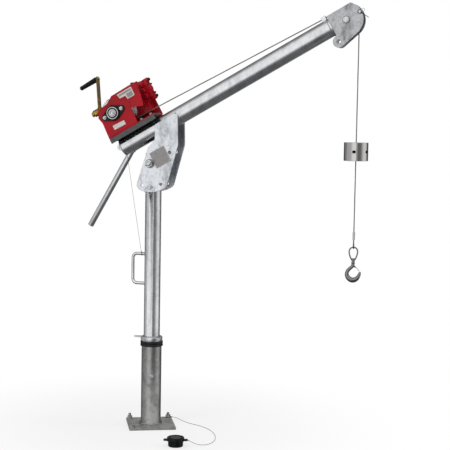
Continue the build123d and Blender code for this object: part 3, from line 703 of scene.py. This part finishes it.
def bracket_pieces():
    for side, tag in ((-1, "near"), (1, "far")):
        y = side * 47.6
        bead([(126, y - side * 1.6, 171), (258, y - side * 1.6, 171)], 3.6)
        bead([(40, y - side * 2, 121), (120, y - side * 7, 128)], 3.2)
        piece(f"bracket_weld_{tag}", "weld", smooth=80)
    outer = 59.625
    hexagon(38, outer + 4, outer + 20, ALONG_Y)
    hexagon(38, outer + 4, outer + 23, AGAINST_Y)
    threaded(12.7, outer - 2, outer + 34, AGAINST_Y, 3.0, 28)
    tube([(-16, -outer - 28, 0), (16, -outer - 28, 0)], 1.9, 8)
    tube([(16, -outer - 28, 0), (20, -outer - 26, 2), (21, -outer - 22, 5)], 1.5, 8)
    tube(circle((-18.5, -outer - 28, 0), 3.0, "Y", 14), 1.5, 8, closed=True)
    piece("pivot_bolt_dressed", "zinc_plate", bevel=0.5, replaces="pivot_bolt")
    washer(12.8, 25, outer, outer + 4, ALONG_Y)
    washer(12.8, 25, outer, outer + 4, AGAINST_Y)
    piece("pivot_bolt_washers", "dark_plate", bevel=0.4)
    s, t = -LOCK_RADIUS * sin(BOOM_LEAN), -LOCK_RADIUS * cos(BOOM_LEAN)
    pin = shift(s, 0, t)
    turned([(8, 47.8), (8, outer), (11.6, outer), (12, outer + 0.5), (12, outer + 5), (10, outer + 6),
            (10, outer + 9), (12, outer + 10), (12, outer + 13), (10.5, outer + 14)], pin @ AGAINST_Y, 36)
    turned([(8, 47.8), (8, outer + 17), (5.5, outer + 20)], pin @ ALONG_Y, 36)
    tube([(s, outer + 11, t - 11), (s, outer + 11, t + 13)], 1.6, 8)
    piece("lock_pin_turned", "zinc_plate", replaces="lock_pin")
    world = ON_BOOM @ Vector((s, 0, t)) * 1000
    tube(circle((world.x, -outer - 16, world.z - 19), 22, "Y", 48), 1.7, 10, closed=True)
    piece("lock_pin_pull_ring", "zinc_plate", "boom", MM, smooth=60, replaces="lock_pin_ring")
    for x in (28, 109):
        for z in (-37, 43):
            lathe([(0, 61.1), (2.6, 61.1), (2.4, 62.2), (1.2, 62.9), (0, 63)], shift(x, 0, z) @ AGAINST_Y, 16)
    for x0, x1, z0, z1 in ((24, 113, 46.2, 47), (24, 113, -41, -40.2), (24, 24.8, -41, 47), (112.2, 113, -41, 47)):
        brick(x0, x1, -61.5, -61.0, z0, z1)
    piece("id_plate_rivets", "zinc_plate", smooth=40)


def boom_pieces():
    bead(circle((-110, 0, BOOM_T), BOOM_RADIUS, "X", 56), 2.6, closed=True)
    bead(circle((1200, 0, BOOM_T), BOOM_RADIUS, "X", 56), 3.0, closed=True)
    for side in (-1, 1):
        bead([(1212, side * 23, 70), (1212, side * 23, 208)], 3.0)
        bead([(-118, side * 5.6, 153), (-118, side * 5.6, 184)], 2.2)
    piece("boom_welds", "weld", smooth=80)
    a = radians(30.6)
    start = Vector((-98.7, 0, 108.4))
    along = Vector((-cos(a), 0, -sin(a)))
    lathe([(0.1, -22), (16, -22), (16, 459.5), (15.2, 461.6), (13.4, 462), (13, 461), (13, 450), (0.1, 450)],
          shift(*start) @ facing(along), 40)
    piece("boom_lever_tube", "galvanised", smooth=40, replaces="boom_lever")
    ring = []
    for i in range(36):
        b = 2 * pi * i / 36
        y = 17 * cos(b)
        x = -98.7 + 34 * sin(b)
        z = BOOM_T - sqrt(max(0, BOOM_RADIUS ** 2 - y * y)) if x > -116 else 110
        ring.append(Vector((max(x, -114), y, z - 1)))
    bead(ring[:19], 2.8)
    piece("lever_weld", "weld", smooth=80)


def head_pieces():
    at = ON_BOOM @ shift(SHEAVE_S, 0, SHEAVE_T)
    half = [(10.1, 23), (18, 23), (18, 14), (21, 12.2), (48, 12.2), (50, 12), (65, 12), (66, 11), (65.6, 8.6),
            (59, 3.4)]
    mirrored = [(r, -h) for r, h in reversed(half)]
    groove = [(58.6, 2.2), (58.5, 0), (58.6, -2.2)]
    lathe(half + groove + mirrored, at=ALONG_Y, steps=96, closed=True)
    piece("sheave_wheel_turned", "zinc_plate", "sheave_wheel", at, smooth=32, replaces="sheave")
    for side, turn in ((1, ALONG_Y), (-1, AGAINST_Y)):
        hexagon(30, 35, 44 if side < 0 else 49, turn)
    threaded(10, 22, 54, ALONG_Y, 2.5, 24)
    turned([(10, -48), (10, 22)], ALONG_Y, 24)
    piece("sheave_bolt_dressed", "zinc_plate", "boom", at, bevel=0.4, replaces="sheave_bolt")
    washer(10.1, 20, 32, 35, ALONG_Y)
    washer(10.1, 20, 32, 35, AGAINST_Y)
    piece("sheave_bolt_washers", "dark_plate", "boom", at)
    tube([(1119, -40, 2256), (1124, -41, 2251), (1150, -41, 2236), (1170, -40, 2223)], 1.7, 10)
    tube(circle((1121, -38, 2253.5), 9.6, "Y", 24), 1.5, 8, closed=True)
    piece("keeper_clip_leg", "black_casting", "boom", MM, smooth=50)
    tube(circle((1139, -38, 2262), 8, "Y", 24), 1.4, 8, closed=True)
    piece("keeper_clip_loop", "zinc_plate", "boom", MM, smooth=50)
    at = ON_BOOM @ shift(SHEAVE_S + 82, 0, SHEAVE_T)
    turned([(4.75, -43.4), (4.75, -36), (8, -36), (8.1, -35.5), (8.1, -32.3), (4.75, -32), (4.75, 44),
            (3.5, 46.2)], ALONG_Y, 24)
    tube(circle((0, 39, -9), 10, "X", 28), 1.2, 8, closed=True)
    piece("keeper_pin_turned", "zinc_plate", "boom", at, smooth=32, replaces="keeper_pin")


def rope_pieces():
    drum = Vector((DRUM_S, 0, DRUM_T))
    sheave = Vector((SHEAVE_S, 0, SHEAVE_T))
    gap = sheave - drum
    both = DRUM_ROPE + SHEAVE_ROPE
    a = atan2(gap.z, gap.x) + atan2(both, sqrt(gap.length ** 2 - both ** 2))
    square = Vector((sin(a), 0, -cos(a)))
    end = sheave - SHEAVE_ROPE * square
    strands([drum + DRUM_ROPE * square, end], ROPE_RADIUS, step=4.0)
    piece("rope_run_laid", "wire_rope", smooth=70, replaces="rope_run")
    strands(circle(sheave, SHEAVE_ROPE, "Y", 60, 90 + degrees(a), -BOOM_ANGLE), ROPE_RADIUS, step=3.0)
    obj = piece("rope_wrap_laid", "wire_rope", None, ON_BOOM, smooth=70, replaces="rope_wrap")
    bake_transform(obj)
    top = WEIGHT_Z + WEIGHT_HALF
    strands([(0, 0, SHEAVE_Z * 1000), (0, 0, top)], ROPE_RADIUS, step=4.0)
    obj = piece("rope_fall_laid", "wire_rope", None, ON_FALL, smooth=70, replaces="rope_fall")
    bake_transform(obj)
    strands([(0, 0, top), (0, 0, ROPE_END)], ROPE_RADIUS, step=4.0)
    piece("rope_tail_laid", "wire_rope", "hook_block", ON_FALL, smooth=70, replaces="rope_tail")
    turns, pitch, sides = 7, 6.35, 40
    path = []
    for i in range(turns * sides + 1):
        b = 2 * pi * i / sides
        path.append(Vector((69.3 * cos(b), -6.6 - pitch * (turns - i / sides), 69.3 * sin(b))))
    tube(path, 3.15, 8)
    piece("drum_rope_turns", "wire_rope", "winch_drum", ON_DRUM, smooth=70, replaces="rope_coil")


# Winch

def lens_outline(body, lobe, reach, steps=18):
    """Outline of a two-bolt flange: a round body, a small lobe at each end and straight tangents."""
    lean = degrees(acos((body - lobe) / reach))
    outline = []
    for turn in (0, 180):
        cx = reach if turn == 0 else -reach
        outline += arc(cx, 0, lobe, turn - lean, turn + lean, steps)
        outline += arc(0, 0, body, turn + lean, turn + 180 - lean, steps)
    return outline


def bearing_pieces():
    at = ON_DRUM
    for x in (-54, 54):
        bolt_y(x, 0, -81, -1, 17, stud=4)
    piece("bearing_bolts", "zinc_plate", "boom", at)
    prism(lens_outline(42, 18, 54), -81, -70)
    lathe([(34.2, 70), (41, 70), (41, 83), (37.5, 90), (36, 91.6), (34.2, 91.6)], AGAINST_Y, 56, closed=True)
    turned([(4.2, 0), (3.6, 6), (2.4, 7)], shift(12, -86, 36) @ spin(degrees(0.35), "Y"), 14)
    piece("bearing_housing_cast", "black_casting", "boom", at, bevel=1.6, smooth=40)
    for ring in ([(28.2, 70), (33.8, 70), (33.8, 91.2), (32.6, 92.6), (29.5, 92.6), (28.2, 91.6)],
                 [(16.2, 70), (21.4, 70), (21.4, 93.2), (20.6, 94), (17.4, 94), (16.2, 93)]):
        lathe(ring, AGAINST_Y, 64, closed=True)
    piece("bearing_inner_ring", "polished_steel", "boom", at, replaces="bearing_insert")
    lathe([(21.4, 71), (28.2, 71), (28.2, 89.4), (25, 90.2), (21.4, 89.4)], AGAINST_Y, 56, closed=True)
    piece("bearing_seal", "black_rubber", "boom", at, smooth=40)
    turned([(15.8, 70), (15.8, 97), (14.6, 98.4), (11, 98.4), (10, 97.4), (10, 90), (4, 89), (3.6, 96)],
           AGAINST_Y, 40)
    piece("drum_shaft_end", "zinc_plate", "winch_drum", at)


def drum_pieces():
    at = ON_DRUM
    for y0, y1 in ((-58, -54), (13, 17)):
        lathe([(64, y0), (78.6, y0), (80, y0 + 1.2), (80, y1 - 1.2), (78.6, y1), (64, y1)], ALONG_Y, 96,
              closed=True)
        lathe([(16, y0 + 1), (64.5, y0 + 1), (64.5, y1 - 1), (16, y1 - 1)], ALONG_Y, 72, closed=True)
    for spot in circle((0, -57, 0), 48, "Y", 6):
        screw(10, shift(*spot) @ AGAINST_Y, 5)
    lathe([(66, -54.5), (66, 13.5)], ALONG_Y, 72)
    turned([(16, -69.5), (16, 79.9)], ALONG_Y, 40)
    piece("drum_spool", "zinc_plate", "winch_drum", at, replaces="drum")
    for y in (-56, -40, -24, -8, 8):
        tube(circle((0, y, 0), 104, "Y", 28, -35, 50), 2.0, 8)
    piece("drum_guard_beads", "zinc_plate", "boom", at, smooth=60)


def winch_pieces():
    prism([(-139.5, 229), (47, 229), (50, 233), (55, 317), (61, 350), (28, 372.5), (-11, 390.5), (-65, 398),
               (-120, 392), (-138.5, 348), (-131, 322)], -73, -69.9)
    piece("near_plate_pad", "red_paint", bevel=1.2, smooth=40)
    prism([(13, 413.5), (106, 413.5), (104, 364), (58, 364), (55, 386), (19, 388)], -70.6, -70.05)
    prism([(-88, 278), (-15, 274), (-15, 250), (-88, 253)], -73.7, -73.05)
    piece("blank_plates", "label", smooth=40)
    prism([(62, 393), (99, 393), (98, 368), (62, 368)], -71.0, -70.6)
    prism([(21, 408), (101, 408), (101, 398), (22, 398)], -71.0, -70.6)
    piece("blank_plate_fields", "dark_plate", smooth=40)
    for s, t in ((-120, 240), (20, 240), (120, 240), (-60, 400), (60, 400), (130, 400), (-115, 330), (125, 320)):
        bolt_y(s, t, 86, 1, 13, head=8)
    for s in (-120, -30, 70, 130):
        for y in (-54, 66):
            hexagon(15, 229, 238, shift(s, y, 0))
    piece("winch_frame_bolts", "dark_plate")


def gear_case_pieces():
    worm = shift(0, WORM_Y, WORM_T)
    for t in (345, 377, 410):
        boss = shift(130, 14, t) @ AGAINST_Y
        lathe([(0, -6), (12.5, -6), (13.5, -2), (13, 6), (11.5, 8.5), (0, 9.5)], boss, 28)
    for t in (328, 361, 394):
        brick(14, 116, 16.5, 22.5, t - 3.5, t + 3.5)
    for s in (30, 66, 100):
        brick(s - 3.5, s + 3.5, 17, 22.4, 270, 430)
    for s, r0, r1, length in ((-96, 27, 31, 16), (-30, 27, 30.5, 12), (30, 27, 30.5, 14)):
        turned([(r0, -1), (r1, 1), (r1, length - 1), (r0, length + 1)],
              worm @ shift(s, 0, 0) @ ALONG_X, 48)
    turned([(15, 0), (16, 1), (20, 12), (24, 17)], worm @ shift(-112, 0, 0) @ ALONG_X, 48)
    lathe([(0, 0), (13, 0), (13, 4), (9, 6), (9, 13), (12, 15), (12, 19), (0, 20)], shift(78, 50, 428), 28)
    lathe([(60, 0), (94, 0), (95.5, 1.5), (95.5, 10), (92, 12), (60, 12)],
          shift(DRUM_S, 34, DRUM_T) @ AGAINST_Y, 80, closed=True)
    for k in range(10):
        b = pi * k / 5 + 0.2
        lathe([(0, -3), (6.5, -3), (6.5, 1), (5.5, 2), (0, 2.2)],
              shift(DRUM_S + 87.5 * cos(b), 22, DRUM_T + 87.5 * sin(b)) @ AGAINST_Y, 18)
    brick(20, 118, 24, 76, 428, 435.5)
    lid = [(s, y) for s in (28, 112) for y in (30, 70)]
    for s, y in lid:
        turned([(8, 0), (8, 9), (7, 10)], shift(s, y, 428), 22)
    piece("gear_case_castings", "red_paint", bevel=1.2, smooth=40)
    cover = shift(145, 0, 0)
    low, high = 324.5, 424.0
    ends = [(51, low), (51, high)]
    corners = [(y, t) for t in (low + 24, high - 24) for y in (35, 72)]
    for y, t in ends:
        turned([(13, 0), (14.5, 2), (14.5, 26), (13, 28)], cover @ shift(0, y, t) @ ALONG_X, 32)
    for y, t in corners:
        turned([(8, 0), (8.5, 1), (8.5, 22.5), (7.5, 23.5)], cover @ shift(0, y, t) @ ALONG_X, 22)
    turned([(25, 18), (25, 23), (22, 26), (12, 27), (11, 31)],
          cover @ shift(0, WORM_Y, 377) @ ALONG_X, 48)
    brick(164, 169, 47, 53, low + 10, high - 10)
    piece("gear_cover_castings", "red_paint", bevel=1.4, smooth=40)
    for y, t in ends:
        screw(15, cover @ shift(28, y, t) @ ALONG_X, 9, stud=3)
    for y, t in corners:
        screw(9, cover @ shift(23.4, y, t) @ ALONG_X, 6)
    for s, y in lid:
        screw(10, shift(s, y, 438), 6)
    for t in (345, 377, 410):
        turned([(4.6, 0), (4.6, 1.6), (4, 2)], shift(130, 4.6, t) @ AGAINST_Y, 16)
    screw(14, shift(78, 50, 448), 8)
    piece("gear_case_screws", "black_casting")


def crank_pieces():
    at = ON_BOOM @ shift(0, WORM_Y, WORM_T)
    face = CRANK_S - 4
    turned([(12, 0), (12, 260)], shift(face - 45, 0, 0) @ ALONG_X, 32)
    out = shift(face, 0, 0) @ AGAINST_X
    lathe([(12, 0), (19, 0), (19.2, 1), (19.2, 9), (18, 10), (12, 10)], out, 40, closed=True)
    lathe([(12, 0), (17, 0), (18, 1), (18, 10), (17, 11), (12, 11)], shift(CRANK_S + 4, 0, 0) @ ALONG_X, 36,
          closed=True)
    hexagon(34, 10, 26, out)
    washer(12, 20, 26, 29, out)
    threaded(11.9, 28, 44.5, out, 2.5, 26)
    tube([(face - 38, 0, -17), (face - 38, 0, 17)], 1.8, 8)
    tube(circle((face - 38, 0, 15), 2.6, "X", 14), 1.2, 8, closed=True)
    piece("crank_hub_turned", "yellow_zinc", "crank", at, bevel=0.4, replaces="crank_hub")
    outline = arc(0, 0, 14, 180, 360, 18) + arc(0, CRANK_LENGTH, 14, 0, 180, 18)
    rings([[Vector((-4, y, z)) for y, z in outline], [Vector((4, y, z)) for y, z in outline]])
    piece("crank_arm_bar", "yellow_zinc", "crank", on_crank(), bevel=1.4, smooth=40, replaces="crank_arm")
    top = shift(0, 0, CRANK_LENGTH)
    lathe([(0, 4), (10, 4), (10, 8.4), (0, 9)], top @ ALONG_X, 24)
    turned([(6, 3), (6, 124)], top @ AGAINST_X, 20)
    lathe([(0, 119), (7.6, 119), (8, 119.8), (7.6, 120.6), (0, 120.8)], top @ AGAINST_X, 24)
    piece("crank_grip_pin", "zinc_plate", "crank", on_crank())
    profile = [(6.2, 9), (14, 9), (15.8, 10.5), (15.8, 16)]
    for k in range(11):
        h = 19 + k * 8.2
        r = 15.4 - 0.30 * k
        profile += [(r - 0.9, h), (r, h + 1.4), (r, h + 5.2), (r - 0.9, h + 6.6)]
    profile += [(12.2, 110), (12.6, 112), (12.4, 117), (10.5, 119.5), (6.2, 120)]
    lathe(profile, top @ AGAINST_X, 48, closed=True)
    piece("crank_grip_ribbed", "black_grip", "crank", on_crank(), smooth=35, replaces="crank_grip")


# Load line

def weight_shell(holes):
    """Half of the round weight: a turned face with its counterbores, two chamfers and the flat seam."""
    lean = acos(WEIGHT_SEAM / WEIGHT_RADIUS)
    reach = WEIGHT_RADIUS * lean
    rows = (-WEIGHT_HALF, 1 - WEIGHT_HALF, -18, 0, 18, WEIGHT_HALF - 1, WEIGHT_HALF)
    shares = [i / 32 - 1 for i in range(65)]
    spots = [Vector((reach * share, z)) for z in rows for share in shares
             if not any(hypot(WEIGHT_RADIUS * sin(lean * share) - y, z) < WEIGHT_BORE + 2 for y in holes)]
    edges = []
    for y in holes:
        first = len(spots)
        for py, pz in arc(y, 0, WEIGHT_BORE, 0, 345, 23):
            spots.append(Vector((WEIGHT_RADIUS * asin(py / WEIGHT_RADIUS), pz)))
        edges += [(first + k, first + (k + 1) % 24) for k in range(24)]
    flat, _, faces, *_ = delaunay_2d_cdt(spots, edges, [], 0, 1e-6)
    lifted = []
    for along, z in flat:
        turn = along / WEIGHT_RADIUS
        r = WEIGHT_RADIUS - (1 if abs(z) > WEIGHT_HALF - 0.5 else 0)
        lifted.append(draft.verts.new((r * cos(turn), r * sin(turn), z)))
    for face in faces:
        middle = sum((lifted[i].co for i in face), Vector()) / 3
        if not any(hypot(middle.y - y, middle.z) < WEIGHT_BORE * 0.985 for y in holes):
            draft.faces.new([lifted[i] for i in face])
    ends = []
    for z in (-WEIGHT_HALF, WEIGHT_HALF):
        row = sorted((i for i, spot in enumerate(flat) if abs(spot[1] - z) < 0.01), key=lambda i: flat[i][0])
        ends.append([lifted[i] for i in row])
        draft.faces.new(ends[-1])
    sides = []
    for side in (0, -1):
        edge = ends[0][side].co.y
        column = [v for v, spot in zip(lifted, flat) if abs(abs(spot[0]) - reach) < 0.01 and v.co.y * edge > 0]
        sides.append(sorted(column, key=lambda v: v.co.z))
    draft.faces.new(sides[0] + sides[1][::-1])
    for y in holes:
        rim = [min(lifted, key=lambda v, a=py, b=pz: hypot(v.co.y - a, v.co.z - b) + (v.co.x < 0) * 99)
               for py, pz in arc(y, 0, WEIGHT_BORE, 0, 345, 23)]
        floor = [draft.verts.new((WEIGHT_RADIUS / 2, v.co.y, v.co.z)) for v in rim]
        for k in range(24):
            draft.faces.new((rim[k - 1], rim[k], floor[k], floor[k - 1]))
        draft.faces.new(floor)


def weight_pieces():
    at = ON_FALL @ shift(0, 0, WEIGHT_Z) @ spin(-54.4)
    weight_shell((-35, 35))
    piece("weight_half_front", "polished_steel", "hook_block", at, replaces="weight_front")
    weight_shell(())
    piece("weight_half_rear", "polished_steel", "hook_block", at @ spin(180), replaces="weight_rear")
    for y in (-35, 35):
        hole = shift(0, y, 0) @ ALONG_X
        turned([(7.4, 31.9), (7.4, 44.2), (6.8, 45), (4.2, 45), (4.2, 41)], hole, 32)
    piece("weight_cap_screws", "black_casting", "hook_block", at)


def both_sides(half):
    return [(-w, d) for w, d in reversed(half)] + half


def link_pieces():
    profile = [(0, 1080), (5.6, 1080), (6.5, 1081)]
    for k in range(4):
        z = 1084 + 9.2 * k
        profile += [(6.5, z), (6.05, z + 1.2), (6.05, z + 6.2), (6.5, z + 7.4)]
    profile += [(6.5, 1120.5), (5.4, 1122.6), (0, 1122.7)]
    lathe(profile, steps=32)
    piece("swage_sleeve", "zinc_plate", "hook_block", ON_FALL, smooth=35, replaces="swage")
    eye = [(1.6, 36.0)] + arc(0, 0, 11.4, 18, -198, 30) + [(-1.6, 36.0)]
    strands([Vector((0, x, z + 15)) for x, z in eye], 2.95, step=3.0)
    piece("rope_eye", "wire_rope", "hook_block", on_hook(EYE_BASE), smooth=70)
    wide = both_sides([(2.0, -0.6), (3.6, 0.9), (3.4, 2.4), (2.2, 1.6), (1.2, 0.5)])
    thin = both_sides([(1.6, -0.6), (2.8, 0.9), (2.6, 2.4), (1.8, 1.6), (1.0, 0.5)])
    turns = (radians(20 - 220 * i / 28) for i in range(29))
    rows = [[Vector((w, (9 + d) * cos(b), (9 + d) * sin(b) + 15)) for w, d in wide] for b in turns]
    tip = [Vector((w, 0.5 + d * 0.5, 45)) for w, d in thin]
    rings([tip] + rows + [[Vector((p.x, -p.y, p.z)) for p in tip]])
    piece("thimble_channel", "polished_steel", "hook_block", on_hook(EYE_BASE), smooth=45, replaces="thimble")
    left = [(-22 + 14.5 * (k / 8) ** 1.9, -25 - 45 * k / 8) for k in range(1, 9)]
    path = arc(0, -25, 22, 0, 180, 24) + left + [(-x, z) for x, z in reversed(left)]
    tube([(x, 0, z) for x, z in path], 3.7, 14, closed=True)
    lathe([(4.3, -88), (8.4, -88), (9, -87), (9, -80), (8.2, -76.5), (8.6, -73), (8, -70), (4.3, -69.4)],
          steps=32, closed=True)
    piece("swivel_ring_forged", "cast_steel", "hook_block", on_hook(SWIVEL_TOP), smooth=50, replaces="swivel_eye")


# Middle line of the hook in its own plane, with the section's half width and half thickness
HOOK_PATH = [(0, 0, 9, 9), (0, -8, 9.4, 9.4), (-5, -17, 9.2, 9.4), (-14, -24, 9.2, 9.4), (-24, -33, 9.6, 9.4),
             (-31, -45, 10.2, 9.6), (-32.5, -58, 11.4, 10.6), (-27, -72, 13.0, 12.2), (-16, -83, 14.2, 13.6),
             (-3, -88, 14.5, 14.0), (10, -86.5, 14.0, 13.2), (21.5, -79, 12.2, 11.6), (29.5, -68, 10.2, 9.8),
             (34, -57, 8.4, 8.2), (36.5, -47.5, 6.2, 6.2), (37.5, -42.5, 3.4, 3.6)]


def hook_pieces():
    loops = []
    for i, (x, z, wide, thick) in enumerate(HOOK_PATH):
        before = HOOK_PATH[max(0, i - 1)]
        after = HOOK_PATH[min(len(HOOK_PATH) - 1, i + 1)]
        along = Vector((after[0] - before[0], 0, after[1] - before[1])).normalized()
        across = Vector((along.z, 0, -along.x))
        loops.append([Vector((x, 0, z)) + across * (wide * cos(a)) + Vector((0, thick * sin(a), 0))
                      for a in (2 * pi * k / 16 for k in range(16))])
    rings(loops)
    body = piece("hook_forged", "cast_steel", "load_hook", on_hook(HOOK_TOP), smooth=60, replaces="hook")
    soft = body.modifiers.new("forged", "SUBSURF")
    soft.levels = soft.render_levels = 2
    lathe([(0, -4), (4, -4), (4, 18.6), (7.4, 18.8), (8, 19.6), (8, 26), (7, 27.4), (0, 27.6)], steps=28)
    turned([(10.2, -1.5), (10.6, -1), (10.6, -0.2)], steps=32)
    for side in (-1, 1):
        brick(5.5, 13.5, side * 7.4 - 1.0, side * 7.4 + 1.0, -20.5, -13.5)
    piece("hook_stem", "cast_steel", "load_hook", on_hook(HOOK_TOP), bevel=0.5, smooth=35)
    spine = [(9.4, -14.6, 4.8), (14, -18.6, 5.4), (24, -29.2, 5.0), (33.4, -39.6, 3.6)]
    section = [(0, -1, 0), (0.9, -0.6, 0.8), (1.1, 0, 1.0), (0.9, 0.6, 0.8), (0, 1, 0), (-1.1, 1, -1.2),
               (-0.6, 0, -0.4), (-1.1, -1, -1.2)]
    rings([[Vector((x + dx, w * side, z + dz)) for dx, side, dz in section] for x, z, w in spine])
    tube([(10.5, -7.4, -17), (10.5, 7.4, -17)], 1.9, 12)
    turns = ((i / 80, 10 * pi * i / 80) for i in range(81))
    tube([(10.5 + 2.5 * cos(b), -4.2 + 8.4 * share, -17 + 2.5 * sin(b)) for share, b in turns], 0.55, 6)
    piece("hook_latch_pressed", "zinc_plate", "latch", on_hook(HOOK_TOP), smooth=45, replaces="hook_latch")


# Widths of the bevels on the CAD nodes' edges, in millimetres
EDGES = {"base_plate": 1.2, "mast_collar": 0.8, "bracket_plate_near": 1.4, "bracket_plate_far": 1.4,
         "id_plate": 0.4, "boom_rear_cap": 1.0, "boom_front_plate": 0.8, "cheek_near": 1.0, "cheek_far": 1.0,
         "rope_guide": 0.8, "winch_mount": 0.8, "winch_near_plate": 1.0, "winch_far_plate": 1.0,
         "winch_floor": 0.6, "drum_guard": 0.6, "flange_bearing": 1.4, "worm_housing": 1.6, "gear_cover": 1.6}


def soften_nodes():
    for name, obj in NODES.items():
        if obj.hide_render:
            continue
        weld = obj.modifiers.new("weld", "WELD")
        weld.merge_threshold = WELD_REACH
        if name in EDGES:
            flat = obj.modifiers.new("flat", "DECIMATE")
            flat.decimate_type = "DISSOLVE"
            flat.angle_limit = radians(FLAT_ANGLE)
            add_bevel(obj, EDGES[name] / 1000)


pedestal()
base_cap_pieces()
mast_pieces()
safety_wire_piece()
bracket_pieces()
boom_pieces()
head_pieces()
rope_pieces()
bearing_pieces()
drum_pieces()
winch_pieces()
gear_case_pieces()
crank_pieces()
weight_pieces()
link_pieces()
hook_pieces()
soften_nodes()
